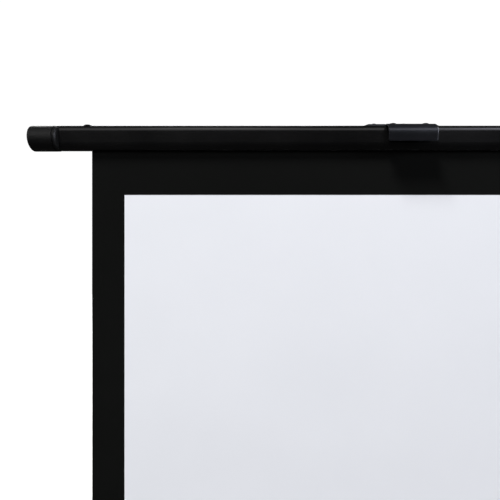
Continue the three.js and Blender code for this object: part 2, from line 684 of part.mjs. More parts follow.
// Carry handle on the case's front: a bent rod that hangs in two ears, with a soft grip
function carryHandle() {
  const front = -caseBack;
  const y = front - earReach;
  const height = caseBottom + caseHeight * carryHeightShare;
  const ear = new THREE.Shape();
  ear.moveTo(front, height + earHeight / 2);
  ear.lineTo(y, height + earRadius);
  ear.absarc(y, height, earRadius, Math.PI / 2, Math.PI * 1.5, false);
  ear.lineTo(front, height - earHeight / 2);
  for (const [side, way] of sideNames) {
    const middle = (way * carrySpan) / 2;
    const ends = [middle - earThickness / 2, middle + earThickness / 2];
    const shape = cut(alongX(ear, ...ends), holeFor("x", carryRod, ...ends, y, height));
    add(`handle_ear_${side}`, shape, finish.blackPlastic);
  }

  const outer = carrySpan / 2 + earThickness / 2;
  const armX = carrySpan / 2 - earThickness / 2 - carryRod;
  const low = height - carryDrop;
  const half = [[armX, low], [armX, height], [outer, height]];
  const route = [...half.map(([x, z]) => [-x, z]).reverse(), ...half];
  const path = new THREE.CurvePath();
  const corners = route.map(([x, z]) => new THREE.Vector3(x, y, z));
  const toward = (corner, next) => corner.clone().add(next.clone().sub(corner).setLength(carryBend));
  let from = corners[0];
  for (let i = 1; i < corners.length - 1; i++) {
    const before = toward(corners[i], corners[i - 1]);
    const after = toward(corners[i], corners[i + 1]);
    path.add(new THREE.LineCurve3(from, before));
    path.add(new THREE.QuadraticBezierCurve3(before, corners[i], after));
    from = after;
  }
  path.add(new THREE.LineCurve3(from, corners.at(-1)));
  const section = new THREE.Shape().absarc(0, 0, carryRod / 2, 0, 2 * Math.PI);
  const bent = new THREE.ExtrudeGeometry(section, { steps: 40, extrudePath: path, curveSegments: 6 });
  add("carry_handle", solid(bent), finish.blackSteel);
  const gripEnds = [-gripLength / 2, gripLength / 2];
  const grip = ring("x", gripDiameter, carryRod + 2 * clearance, ...gripEnds, y, low, 28);
  add("carry_grip", grip, finish.rubber);
}

topBar();
hangerBracket();
pullHandle();
screen();
caseShell();
sideNames.forEach(([side, way]) => {
  caseEnd(side, way);
  foot(side, way);
});
roller();
lift();
carryHandle();

export default part;
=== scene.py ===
"""Looks of a portable floor projector screen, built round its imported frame.

Everything is in metres on the frame's own axes: +X to the viewer's right, -Y towards the
viewers, +Z up, with the origin on the floor below the middle of the fabric.
"""

import json
import logging
import math
from dataclasses import dataclass
from enum import Enum
from typing import Callable, Sequence

import bmesh
import bpy
from mathutils import Matrix, Vector

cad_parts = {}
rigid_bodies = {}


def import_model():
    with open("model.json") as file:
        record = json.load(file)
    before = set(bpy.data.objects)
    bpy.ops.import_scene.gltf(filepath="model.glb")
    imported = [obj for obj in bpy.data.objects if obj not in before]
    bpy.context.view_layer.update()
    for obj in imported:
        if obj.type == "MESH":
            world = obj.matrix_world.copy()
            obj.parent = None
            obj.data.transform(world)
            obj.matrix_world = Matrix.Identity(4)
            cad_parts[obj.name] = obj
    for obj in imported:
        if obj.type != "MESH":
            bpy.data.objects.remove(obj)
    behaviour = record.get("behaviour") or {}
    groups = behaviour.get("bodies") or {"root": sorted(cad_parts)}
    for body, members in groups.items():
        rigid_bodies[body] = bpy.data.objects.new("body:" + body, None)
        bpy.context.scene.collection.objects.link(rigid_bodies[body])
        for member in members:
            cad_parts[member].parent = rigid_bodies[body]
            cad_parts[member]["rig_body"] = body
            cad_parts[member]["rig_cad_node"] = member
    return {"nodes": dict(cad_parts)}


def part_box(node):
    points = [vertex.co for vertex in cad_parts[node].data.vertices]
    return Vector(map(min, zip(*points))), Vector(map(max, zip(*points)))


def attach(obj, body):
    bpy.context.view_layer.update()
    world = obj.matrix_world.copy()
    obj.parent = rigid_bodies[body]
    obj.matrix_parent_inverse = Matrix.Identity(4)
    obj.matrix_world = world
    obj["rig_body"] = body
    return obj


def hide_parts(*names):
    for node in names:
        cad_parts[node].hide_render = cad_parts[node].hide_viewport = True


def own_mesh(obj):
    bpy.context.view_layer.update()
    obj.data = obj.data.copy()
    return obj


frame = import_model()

LOG = logging.getLogger("projector_screen")
MM = 0.001
QUARTER = math.pi / 2

# How near two places count as one
SKIN = 0.01 * MM

Point = tuple[float, float]
Colour = tuple[float, float, float]


class Side(Enum):
    """The two ends of the screen, seen by the viewers, with their way along X."""

    LEFT = -1
    RIGHT = 1

    @property
    def word(self) -> str:
        """The side's name as the nodes write it."""
        return self.name.lower()


class Axis(Enum):
    """The way a turned or drawn piece points, as the matrix that stands local Z on it."""

    RIGHT = Matrix(((0, 0, 1), (1, 0, 0), (0, 1, 0)))
    LEFT = Matrix(((0, 0, -1), (-1, 0, 0), (0, 1, 0)))
    UP = Matrix(((1, 0, 0), (0, 1, 0), (0, 0, 1)))
    FRONT = Matrix(((-1, 0, 0), (0, 0, -1), (0, -1, 0)))
    BACK = Matrix(((1, 0, 0), (0, 0, 1), (0, -1, 0)))

    @staticmethod
    def along_x(side: Side) -> "Axis":
        """The axis that points out of one end of the screen."""
        return Axis.RIGHT if side is Side.RIGHT else Axis.LEFT


class Part(Enum):
    """What a pick in edit mode selects."""

    CORNERS = "VERT"
    EDGES = "EDGE"
    FACES = "FACE"


@dataclass(frozen=True)
class Place:
    """The box that a node of the frame fills."""

    low: Vector
    high: Vector

    @classmethod
    def of(cls, node: str) -> "Place":
        """The place of a node."""
        return cls(*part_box(node))

    @property
    def size(self) -> Vector:
        """Length of the box along each axis."""
        return self.high - self.low

    @property
    def middle(self) -> Vector:
        """Middle of the box."""
        return (self.low + self.high) / 2


# Modelling


class Workbench:
    """The one piece that is being shaped, and the hand tools that shape it."""

    def __init__(self) -> None:
        """Starts with nothing on the bench."""
        self.piece: bpy.types.Object | None = None
        self.patterns: dict[str, bpy.types.Mesh] = {}

    def clear(self) -> None:
        """Leaves edit mode and deselects all."""
        if bpy.context.object and bpy.context.object.mode != "OBJECT":
            bpy.ops.object.mode_set(mode="OBJECT")
        bpy.ops.object.select_all(action="DESELECT")

    def take(self, piece: bpy.types.Object) -> bpy.types.Object:
        """Makes a piece the active and only selected one.

        Args:
            piece: The object to work on.
        Returns:
            The same object.
        """
        self.clear()
        piece.select_set(True)
        bpy.context.view_layer.objects.active = piece
        self.piece = piece
        return piece

    def settle(self) -> None:
        """Puts the piece's place into its mesh, so that its object is at the origin."""
        bpy.ops.object.transform_apply(location=True, rotation=True, scale=True)

    def started(self, name: str) -> bpy.types.Object:
        """Takes the primitive that was just added.

        Args:
            name: Its name.
        Returns:
            The primitive, with its place in its mesh.
        """
        self.piece = bpy.context.object
        self.piece.name = name
        self.piece.data.name = name
        self.settle()
        return self.piece

    def repeated(self, pattern: str, name: str, shape: Callable[[str], None]) -> None:
        """Puts a piece that repeats on the bench: shaped the first time, and then copied.

        Args:
            pattern: What all the pieces of this shape are called.
            name: Name of this one.
            shape: Called with the name, it shapes the piece round the local origin.
        """
        if pattern in self.patterns:
            piece = bpy.data.objects.new(name, self.patterns[pattern].copy())
            piece.data.name = name
            bpy.context.scene.collection.objects.link(piece)
            self.take(piece)
        else:
            shape(name)
            self.patterns[pattern] = self.take(self.piece).data.copy()

    def box(self, name: str, low: Sequence[float], high: Sequence[float]) -> None:
        """Adds a box between two corners.

        Args:
            name: Name of the piece.
            low: Lowest corner.
            high: Highest corner.
        """
        place = Place(Vector(low), Vector(high))
        self.clear()
        bpy.ops.mesh.primitive_cube_add(size=1, location=place.middle, scale=place.size)
        self.started(name)

    def disc(self, name: str, radius: float, sides: int) -> None:
        """Adds a filled disc on the local floor, the start of a turned piece.

        Args:
            name: Name of the piece.
            radius: Its radius.
            sides: Corners round it.
        """
        self.clear()
        bpy.ops.mesh.primitive_circle_add(vertices=sides, radius=radius, fill_type="NGON")
        self.started(name)

    def edit(self, part: Part = Part.FACES) -> bmesh.types.BMesh:
        """Enters edit mode with nothing selected.

        Args:
            part: What the selection works on.
        Returns:
            The mesh that is being edited.
        """
        bpy.ops.object.mode_set(mode="EDIT")
        bpy.ops.mesh.select_mode(type=part.value)
        bpy.ops.mesh.select_all(action="DESELECT")
        return bmesh.from_edit_mesh(self.piece.data)

    def pick(self, part: Part, test: Callable[[Vector, Vector], bool]) -> None:
        """Selects what passes a test on its middle and its direction.

        Args:
            part: Corners, edges or faces.
            test: Called with the middle and, for a corner or face, the normal, for an edge
                its unit direction.
        """
        mesh = self.edit(part)
        if part is Part.CORNERS:
            for corner in mesh.verts:
                corner.select_set(test(corner.co, corner.normal))
        elif part is Part.EDGES:
            for edge in mesh.edges:
                first, second = (corner.co for corner in edge.verts)
                edge.select_set(test((first + second) / 2, (second - first).normalized()))
        else:
            for face in mesh.faces:
                face.select_set(test(face.calc_center_median(), face.normal))
        mesh.select_flush_mode()
        bmesh.update_edit_mesh(self.piece.data)

    def pick_all(self) -> None:
        """Selects the whole mesh in edit mode."""
        self.edit()
        bpy.ops.mesh.select_all(action="SELECT")

    def extrude(self, way: Sequence[float]) -> None:
        """Draws the selection out along a vector."""
        bpy.ops.mesh.extrude_region_move(TRANSFORM_OT_translate={"value": tuple(way)})

    def resize(self, across: float, up: float, height: float = 0.0) -> None:
        """Scales the selection along local X and Y, about local Z at a height."""
        bpy.ops.transform.resize(value=(across, up, 1), center_override=(0, 0, height))

    def move(self, way: Sequence[float]) -> None:
        """Moves the selection."""
        bpy.ops.transform.translate(value=tuple(way))

    def round_edges(self, width: float, steps: int) -> None:
        """Bevels the selected edges."""
        bpy.ops.mesh.bevel(offset=width, segments=steps, affect="EDGES")

    def spin(
        self, centre: Sequence[float], axis: Sequence[float], angle: float, steps: int
    ) -> None:
        """Sweeps the selected end face round a centre."""
        bpy.ops.mesh.spin(steps=steps, angle=angle, center=tuple(centre), axis=tuple(axis))

    def close(self) -> None:
        """Merges doubles and turns all faces outwards."""
        self.take(self.piece)
        self.pick_all()
        bpy.ops.mesh.remove_doubles(threshold=0.001 * MM)
        bpy.ops.mesh.normals_make_consistent(inside=False)
        self.take(self.piece)

    def trace(self, name: str, outline: Sequence[Point]) -> None:
        """Adds a disc with a corner for each point, drags each there, and selects it all.

        Args:
            name: Name of the piece.
            outline: Points of the outline, on the local X-Y plane.
        """
        self.disc(name, 1.0, len(outline))
        mesh = self.edit(Part.CORNERS)
        for index, (across, up) in enumerate(outline):
            mesh.verts.ensure_lookup_table()
            corner = mesh.verts[index]
            corner.select_set(True)
            bmesh.update_edit_mesh(self.piece.data)
            self.move((across - corner.co.x, up - corner.co.y, 0))
            bpy.ops.mesh.select_all(action="DESELECT")
        self.pick_all()

    def draw_out(
        self, name: str, outline: Sequence[Point], length: float, taper: float = 1.0
    ) -> None:
        """Traces an outline and draws it out along local Z.

        Args:
            name: Name of the piece.
            outline: Its section.
            length: How far it is drawn.
            taper: Size of the far end, as a share of the near one.
        """
        self.trace(name, outline)
        self.extrude((0, 0, length))
        self.resize(taper, taper)
        self.close()

    def stack(self, name: str, outline: Sequence[Point], levels: Sequence[Point]) -> None:
        """Draws an outline up in steps, resized about local Z at each.

        Args:
            name: Name of the piece.
            outline: Outline round the local origin.
            levels: [inset, height] of each level, the first at the start.
        """
        self.trace(name, outline)
        half = [max(abs(point[index]) for point in outline) for index in (0, 1)]
        before, height = (0.0, 0.0)
        for index, (inset, level) in enumerate(levels):
            if index:
                self.extrude((0, 0, level - height))
            else:
                self.move((0, 0, level))
            self.resize(*((side - inset) / (side - before) for side in half), level)
            before, height = inset, level
        self.close()

    def turn_up(self, name: str, profile: Sequence[Point], sides: int = 48) -> None:
        """Turns a piece on local Z: a disc drawn up and resized from point to point.

        Args:
            name: Name of the piece.
            profile: [radius, height] points, from the first face to the last.
            sides: Faces round the piece.
        """
        radius, height = profile[0]
        self.disc(name, radius, sides)
        self.pick_all()
        self.move((0, 0, height))
        for next_radius, next_height in profile[1:]:
            self.extrude((0, 0, next_height - height))
            self.resize(next_radius / radius, next_radius / radius, next_height)
            radius, height = next_radius, next_height
        self.close()

    def bore(self, radius: float) -> None:
        """Makes the turned piece a ring: its two end faces are opened and joined inside.

        Args:
            radius: Radius of the bore.
        """
        levels = [corner.co.z for corner in self.edit(Part.CORNERS).verts]
        ends = (min(levels), max(levels))
        self.pick(Part.FACES, lambda at, way: abs(way.z) > 0.9 and at.xy.length < radius
                  and min(abs(at.z - end) for end in ends) < SKIN)
        outer = max(
            corner.co.xy.length
            for corner in bmesh.from_edit_mesh(self.piece.data).verts if corner.select)
        bpy.ops.mesh.inset(thickness=outer - radius)
        bpy.ops.mesh.bridge_edge_loops()
        self.close()

    def stand(self, axis: Axis, place: Sequence[float], turn: float = 0.0) -> None:
        """Stands the piece, made on local Z, on an axis at a place, and keeps that in its mesh.

        Args:
            axis: Where local Z points.
            place: Where the local origin goes.
            turn: Turn about local Z first, in radians.
        """
        turned = Matrix.Rotation(turn, 4, "Z")
        self.take(self.piece).matrix_world = (
            Matrix.Translation(Vector(place)) @ axis.value.to_4x4() @ turned)
        self.settle()

    def merged_copy(self, node: str, name: str) -> None:
        """Copies a node of the frame with its loose triangles merged into whole faces.

        Args:
            node: Name of the node.
            name: Name of the new piece.
        """
        self.clear()
        piece = frame["nodes"][node].copy()
        piece.data = piece.data.copy()
        piece.name = name
        piece.data.name = name
        bpy.context.scene.collection.objects.link(piece)
        piece.parent = None
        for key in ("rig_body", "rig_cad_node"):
            del piece[key]
        self.take(piece)
        self.pick_all()
        bpy.ops.mesh.remove_doubles(threshold=SKIN)
        bpy.ops.mesh.dissolve_limited(angle_limit=math.radians(0.5))
        self.take(piece)

    def modify(self, kind: str, **settings: object) -> None:
        """Gives the piece a modifier and applies it.

        Args:
            kind: Type of the modifier.
            settings: Its attributes.
        """
        piece = self.take(self.piece)
        tool = piece.modifiers.new(kind.lower(), kind)
        for key, value in settings.items():
            setattr(tool, key, value)
        bpy.ops.object.modifier_apply(modifier=tool.name)

    def bevel(self, width: float, steps: int = 2, angle: float = 30) -> None:
        """Rounds all edges sharper than an angle.

        Args:
            width: Width of the rounding.
            steps: Its segments.
            angle: Smallest angle that counts as an edge, in degrees.
        """
        self.modify("BEVEL", width=width, segments=steps, limit_method="ANGLE",
                    angle_limit=math.radians(angle), miter_outer="MITER_ARC")

    def ripple(
        self, name: str, grain: float, depth: int, strength: float, **settings: object
    ) -> None:
        """Displaces the piece's corners by a soft cloud pattern.

        Args:
            name: Name of the pattern.
            grain: Size of its clouds.
            depth: Layers of finer clouds.
            strength: How far it moves a corner at most.
            settings: More attributes of the modifier.
        """
        clouds = bpy.data.textures.get(name) or bpy.data.textures.new(name, "CLOUDS")
        clouds.noise_scale = grain
        clouds.noise_depth = depth
        self.modify("DISPLACE", texture=clouds, strength=strength, **settings)

    def carve(self, shape: Callable[[], None]) -> None:
        """Cuts a second piece out of the one on the bench.

        Args:
            shape: Shapes the second piece and leaves it on the bench, in its place.
        """
        body = self.piece
        shape()
        cutter = self.piece
        for piece in (cutter, body):
            self.take(piece)
            self.pick_all()
            bpy.ops.mesh.normals_make_consistent(inside=False)
        self.modify("BOOLEAN", operation="DIFFERENCE", solver="EXACT", object=cutter)
        bpy.data.objects.remove(cutter)

    def deliver(
        self, finish: "Finish", body: str, nodes: Sequence[str] = (), smooth: float = 35
    ) -> bpy.types.Object:
        """Finishes the piece on the bench: shading, material, body and what it stands for.

        Args:
            finish: The finish that dresses it.
            body: The body it rides on.
            nodes: Nodes of the frame that it replaces.
            smooth: Largest angle that is shaded smooth, in degrees.
        Returns:
            The finished piece.
        """
        piece = self.take(self.piece)
        bpy.ops.object.shade_smooth_by_angle(angle=math.radians(smooth))
        if not isinstance(finish, Cloth):
            self.modify("WEIGHTED_NORMAL", keep_sharp=True)
        finish.dress(piece)
        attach(piece, body)
        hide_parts(*nodes)
        LOG.info("%s on %s, %d faces", piece.name, body, len(piece.data.polygons))
        return piece


BENCH = Workbench()


def arc(centre: Point, radius: float, start: float, end: float, steps: int) -> list[Point]:
    """Points of an arc, both ends among them.

    Args:
        centre: Middle of the arc.
        radius: Its radius.
        start: First angle, in quarter turns.
        end: Last angle, in quarter turns.
        steps: Chords along it.
    Returns:
        The points.
    """
    turns = [QUARTER * (start + (end - start) * step / steps) for step in range(steps + 1)]
    return [(centre[0] + radius * math.cos(t), centre[1] + radius * math.sin(t)) for t in turns]


def quarter_turns(steps: int, start: float = 0.0) -> list[float]:
    """Even angles from a start, in radians, up to a quarter turn."""
    return [start + (QUARTER - start) * step / steps for step in range(steps + 1)]


def rounded(
    left: float, low: float, right: float, high: float, radius: float, steps: int = 8
) -> list[Point]:
    """Outline of a rectangle with round corners, from its lower right corner on.

    Args:
        left: Its left edge.
        low: Its lower edge.
        right: Its right edge.
        high: Its upper edge.
        radius: Radius of the corners.
        steps: Chords along each corner.
    Returns:
        The points.
    """
    corners = (
        (right - radius, low + radius, -1),
        (right - radius, high - radius, 0),
        (left + radius, high - radius, 1),
        (left + radius, low + radius, 2),
    )
    return [point for x, y, quarter in corners
            for point in arc((x, y), radius, quarter, quarter + 1, steps)]


def dome(radius: float, height: float, base: float, steps: int) -> list[Point]:
    """[radius, height] points of a half ellipse over a base, up to a small flat pole.

    Args:
        radius: Radius of the base.
        height: Height over the base.
        base: Height of the base.
        steps: Chords up the side.
    Returns:
        The points.
    """
    pole = radius * 0.03
    return [(max(pole, radius * math.cos(turn)), base + height * math.sin(turn))
            for turn in quarter_turns(steps)]


def flipped(points: Sequence[Point]) -> list[Point]:
    """The points on the other side of the middle, in the opposite order."""
    return [(-x, y) for x, y in reversed(points)]


# Node graphs


class Graph:
    """A node tree, with short ways to add nodes and to join them."""

    def __init__(self, tree: bpy.types.NodeTree) -> None:
        """Works on a tree that exists."""
        self.tree = tree

    @classmethod
    def of(cls, owner: bpy.types.Material | bpy.types.World) -> "Graph":
        """The emptied node tree of a new material or world.

        Args:
            owner: The material or world.
        Returns:
            Its graph.
        """
        owner.use_nodes = True
        owner.node_tree.nodes.clear()
        return cls(owner.node_tree)

    def feed(self, node: bpy.types.Node, inputs: dict) -> None:
        """Joins sockets to a node's inputs, and sets its other inputs to values.

        Args:
            node: The node.
            inputs: Sockets, numbers or colours, by the input's name or number.
        """
        for key, value in inputs.items():
            socket = node.inputs[key]
            if isinstance(value, bpy.types.NodeSocket):
                self.tree.links.new(value, socket)
            else:
                socket.default_value = (*value, 1) if socket.type == "RGBA" else value

    def add(self, kind: str, inputs: dict | None = None, **settings: object) -> bpy.types.Node:
        """Adds a node.

        Args:
            kind: Node type, without its ShaderNode prefix.
            inputs: What its inputs are fed with.
            settings: Attributes of the node.
        Returns:
            The new node.
        """
        node = self.tree.nodes.new("ShaderNode" + kind)
        for key, value in settings.items():
            setattr(node, key, value)
        self.feed(node, inputs or {})
        return node

    def math(self, operation: str, first: object, second: object = 0.5,
             clamp: bool = False) -> bpy.types.NodeSocket:
        """Adds a Math node and returns its value."""
        node = self.add("Math", {0: first, 1: second}, operation=operation, use_clamp=clamp)
        return node.outputs[0]

    def times(self, first: object, second: object) -> bpy.types.NodeSocket:
        """Multiplies two values."""
        return self.math("MULTIPLY", first, second)

    def span(self, value: object, low: object, high: object, to_low: object = 0.0,
             to_high: object = 1.0) -> bpy.types.NodeSocket:
        """Adds a Map Range node that takes one range to another and stays inside it."""
        return self.add("MapRange", {"Value": value, "From Min": low, "From Max": high,
                                     "To Min": to_low, "To Max": to_high}).outputs[0]

    def mix(self, share: object, first: object, second: object) -> bpy.types.NodeSocket:
        """Adds a Mix node for two colours."""
        return self.add("Mix", {0: share, 6: first, 7: second}, data_type="RGBA").outputs[2]

    def noise(self, at: object, scale: object, **inputs: float) -> bpy.types.NodeSocket:
        """Adds a Noise texture at a place and returns its height."""
        return self.add("TexNoise", {"Vector": at, "Scale": scale, **inputs}).outputs["Fac"]

    def bump(self, strength: object, distance: object, height: object) -> bpy.types.NodeSocket:
        """Adds a Bump node and returns its normal."""
        return self.add("Bump", {"Strength": strength, "Distance": distance,
                                 "Height": height}).outputs["Normal"]

    def end(self, output: str, seen: bpy.types.Node, other: bpy.types.Node) -> None:
        """Ends the graph in one shader for the camera and another for all other rays.

        Args:
            output: Type of the output node.
            seen: The shader that the camera sees.
            other: The shader that lights and reflections meet.
        """
        camera = self.add("LightPath").outputs["Is Camera Ray"]
        both = self.add("MixShader", {0: camera, 1: other.outputs[0], 2: seen.outputs[0]})
        self.add(output, {"Surface": both.outputs[0]})


class Effect:
    """A surface effect that several finishes share, as a node group that is built once."""

    made: dict[str, bpy.types.NodeTree] = {}

    def __init__(self, name: str, takes: dict[str, str], gives: dict[str, str],
                 fill: Callable[[Graph, dict], dict]) -> None:
        """Keeps what the group takes and gives, and the function that fills it.

        Args:
            name: Name of the group.
            takes: Socket type of each input, by name.
            gives: Socket type of each output, by name.
            fill: Adds the nodes; called with the graph and the input sockets, it returns the
                output sockets by name.
        """
        self.name, self.takes, self.gives, self.fill = name, takes, gives, fill

    def tree(self) -> bpy.types.NodeTree:
        """The node group, built the first time it is asked for.

        Returns:
            The group's tree.
        """
        if self.name in Effect.made:
            return Effect.made[self.name]
        tree = bpy.data.node_groups.new(self.name, "ShaderNodeTree")
        for names, way in ((self.takes, "INPUT"), (self.gives, "OUTPUT")):
            for name, kind in names.items():
                tree.interface.new_socket(
                    name=name, in_out=way, socket_type="NodeSocket" + kind)
        entry = tree.nodes.new("NodeGroupInput")
        leave = tree.nodes.new("NodeGroupOutput")
        graph = Graph(tree)
        graph.feed(leave, self.fill(graph, {name: entry.outputs[name] for name in self.takes}))
        Effect.made[self.name] = tree
        return tree

    def put(self, graph: Graph, **inputs: object) -> dict[str, bpy.types.NodeSocket]:
        """Places the group in a material.

        Args:
            graph: The material's graph.
            inputs: Values or sockets by input name.
        Returns:
            The group's outputs, by name.
        """
        node = graph.tree.nodes.new("ShaderNodeGroup")
        node.node_tree = self.tree()
        graph.feed(node, inputs)
        return {name: node.outputs[name] for name in self.gives}


def sockets(vectors: str, values: str = "") -> dict[str, str]:
    """Socket types by name, from the names of the vectors and of the plain values."""
    kinds = ((vectors, "Vector"), (values, "Float"))
    return {name: kind for names, kind in kinds for name in names.split()}


def fill_relief(graph: Graph, given: dict) -> dict:
    """Fine relief of a sprayed or moulded skin: large soft waves under small grains.

    Args:
        graph: The group's graph.
        given: Its inputs: Vector, Scale, Strength and Depth.
    Returns:
        Its outputs: Normal and Grain.
    """
    at, scale = given["Vector"], given["Scale"]
    grains = graph.noise(at, scale, Detail=4.0, Roughness=0.6)
    waves = graph.noise(at, graph.times(scale, 0.22), Detail=1.0)
    height = graph.math("ADD", grains, graph.times(waves, 1.6))
    return {"Normal": graph.bump(given["Strength"], given["Depth"], height), "Grain": grains}


def fill_patches(graph: Graph, given: dict) -> dict:
    """Soft uneven patches, as handling and time leave them.

    Args:
        graph: The group's graph.
        given: Its inputs: Vector, Scale, Low and High.
    Returns:
        Its output: Mask.
    """
    broad = graph.noise(given["Vector"], given["Scale"], Detail=3.0, Roughness=0.55,
                        Distortion=0.4)
    return {"Mask": graph.span(broad, given["Low"], given["High"])}


def fill_scratches(graph: Graph, given: dict) -> dict:
    """Thin hairline scratches in two ways, broken up by patches.

    Args:
        graph: The group's graph.
        given: Its inputs: Vector and Amount.
    Returns:
        Its output: Mask.
    """
    masks = []
    for angle, stretch in ((0.5, 70.0), (-1.1, 46.0)):
        turned = graph.add("Mapping", {"Vector": given["Vector"], "Rotation": (angle,) * 3,
                                       "Scale": (1.0, stretch, stretch)}).outputs[0]
        masks.append(graph.span(graph.noise(turned, 9.0, Detail=2.0), 0.66, 0.72))
    both = graph.math("MAXIMUM", *masks)
    share = graph.span(graph.noise(given["Vector"], 14.0, Detail=1.0), 0.5, 0.7)
    return {"Mask": graph.times(graph.times(both, share), given["Amount"])}


def fill_dust(graph: Graph, given: dict) -> dict:
    """Pale dust that settles on what faces up.

    Args:
        graph: The group's graph.
        given: Its inputs: Vector, Facing and Amount.
    Returns:
        Its output: Mask.
    """
    up = graph.add("SeparateXYZ", {0: given["Facing"]}).outputs["Z"]
    settled = graph.span(up, 0.35, 1.0)
    grains = graph.noise(given["Vector"], 60.0, Detail=6.0, Roughness=0.7)
    broken = graph.span(grains, 0.38, 0.75)
    return {"Mask": graph.times(graph.times(settled, broken), given["Amount"])}


def fill_weave(graph: Graph, given: dict) -> dict:
    """Plain weave: warp and weft threads that pass over and under each other, their crests
    masking a painted highlight.

    Args:
        graph: The group's graph.
        given: Its inputs: Vector, Pitch and Strength.
    Returns:
        Its outputs: Normal, and the thread crests that mask the painted highlight.
    """
    across, _, up = graph.add("SeparateXYZ", {0: given["Vector"]}).outputs
    half_turn = graph.math("DIVIDE", math.pi, given["Pitch"])
    waves = [graph.math("SINE", graph.times(along, half_turn), 0) for along in (across, up)]
    over = graph.span(graph.times(*waves), -0.2, 0.2)
    warp, weft = (graph.math("ABSOLUTE", wave, 0) for wave in waves)
    # Thread crests: the bump's height, and the mask of the painted highlight.
    thread = graph.add("Mix", {0: over, 2: warp, 3: weft}).outputs[0]
    fuzz = graph.noise(given["Vector"], 2600.0, Detail=1.0)
    height = graph.math("ADD", thread, graph.times(fuzz, 0.5))
    return {"Normal": graph.bump(given["Strength"], 0.12 * MM, height), "Thread": thread}


def fill_brush(graph: Graph, given: dict) -> dict:
    """Long fine lines along local X, as drawing or brushing leaves them in metal.

    Args:
        graph: The group's graph.
        given: Its inputs: Vector, Scale and Strength.
    Returns:
        Its outputs: Normal and Line.
    """
    drawn = graph.add("Mapping", {"Vector": given["Vector"], "Scale": (0.02, 1.0, 1.0)})
    lines = graph.noise(drawn.outputs[0], given["Scale"], Detail=4.0, Roughness=0.7)
    return {"Normal": graph.bump(given["Strength"], 0.05 * MM, lines), "Line": lines}


RELIEF = Effect("skin_relief", sockets("Vector", "Scale Strength Depth"),
                sockets("Normal", "Grain"), fill_relief)
PATCHES = Effect("soft_patches", sockets("Vector", "Scale Low High"), sockets("", "Mask"),
                 fill_patches)
SCRATCHES = Effect("hairline_scratches", sockets("Vector", "Amount"), sockets("", "Mask"),
                   fill_scratches)
DUST = Effect("settled_dust", sockets("Vector Facing", "Amount"), sockets("", "Mask"),
              fill_dust)
WEAVE = Effect("plain_weave", sockets("Vector", "Pitch Strength"),
               sockets("Normal", "Thread"), fill_weave)
BRUSH = Effect("drawn_lines", sockets("Vector", "Scale Strength"), sockets("Normal", "Line"),
               fill_brush)


# Finishes


@dataclass(frozen=True)
class Finish:
    """What every finish has: a name, the record's slot, and a material that is built once."""

    name: str
    slot: str

    def skin(self, graph: Graph, place: bpy.types.Node) -> dict:
        """What the shader is fed with; each kind of finish has its own."""
        raise NotImplementedError

    def material(self) -> bpy.types.Material:
        """The finish's material, built the first time it is asked for.

        Returns:
            The material.
        """
        found = bpy.data.materials.get(self.name)
        if found:
            return found
        made = bpy.data.materials.new(self.name)
        graph = Graph.of(made)
        shader = graph.add("BsdfPrincipled", self.skin(graph, graph.add("TexCoord")))
        graph.add("OutputMaterial", {"Surface": shader.outputs[0]})
        return made

    def dress(self, piece: bpy.types.Object) -> None:
        """Gives the material to a piece, in place of any it has."""
        piece.data.materials.clear()
        piece.data.materials.append(self.material())

    def dress_nodes(self, *names: str) -> None:
        """Gives the material to nodes of the frame that stay as they are.

        Args:
            names: Names of the nodes.
        """
        for name in names:
            for holder in frame["nodes"][name].material_slots:
                holder.material = self.material()
            LOG.info("%s stays, with %s", name, self.name)


@dataclass(frozen=True)
class Coating(Finish):
    """A sprayed, moulded or cast skin: paint, enamel, plastic, nylon or rubber."""

    colour: Colour = (0.012, 0.012, 0.013)
    worn: Colour = (0.03, 0.03, 0.031)
    dust: Colour = (0.16, 0.155, 0.145)
    shine: Point = (0.36, 0.5)
    grain: float = 900.0
    relief: float = 0.12
    depth: float = 0.05 * MM
    scratched: float = 0.25
    dusty: float = 0.12
    metallic: float = 0.0
    specular: float = 0.5
    glint: Colour = (1.0, 1.0, 1.0)
    soft: float = 0.0

    def skin(self, graph: Graph, place: bpy.types.Node) -> dict:
        """Grain, patches of uneven gloss, hairline scratches and settled dust.

        Args:
            graph: The material's graph.
            place: Its texture coordinates.
        Returns:
            What the shader is fed with.
        """
        at = place.outputs["Object"]
        relief = RELIEF.put(graph, Vector=at, Scale=self.grain, Strength=self.relief,
                            Depth=self.depth)
        patches = PATCHES.put(graph, Vector=at, Scale=7.0, Low=0.35, High=0.68)["Mask"]
        marks = SCRATCHES.put(graph, Vector=at, Amount=self.scratched)["Mask"]
        settled = DUST.put(graph, Vector=at, Facing=place.outputs["Normal"],
                           Amount=self.dusty)["Mask"]
        worn = graph.math("ADD", marks, graph.times(patches, 0.25), clamp=True)
        painted = graph.mix(worn, self.colour, self.worn)
        rough = graph.math("ADD", graph.span(patches, 0.0, 1.0, *self.shine),
                           graph.times(relief["Grain"], 0.08))
        return {
            "Base Color": graph.mix(settled, painted, self.dust),
            "Roughness": graph.math("ADD", rough, graph.times(settled, 0.3), clamp=True),
            "Normal": relief["Normal"],
            "Metallic": self.metallic,
            "Specular IOR Level": self.specular,
            "Specular Tint": self.glint,
            "Subsurface Weight": self.soft,
            "Subsurface Scale": 2 * MM,
        }


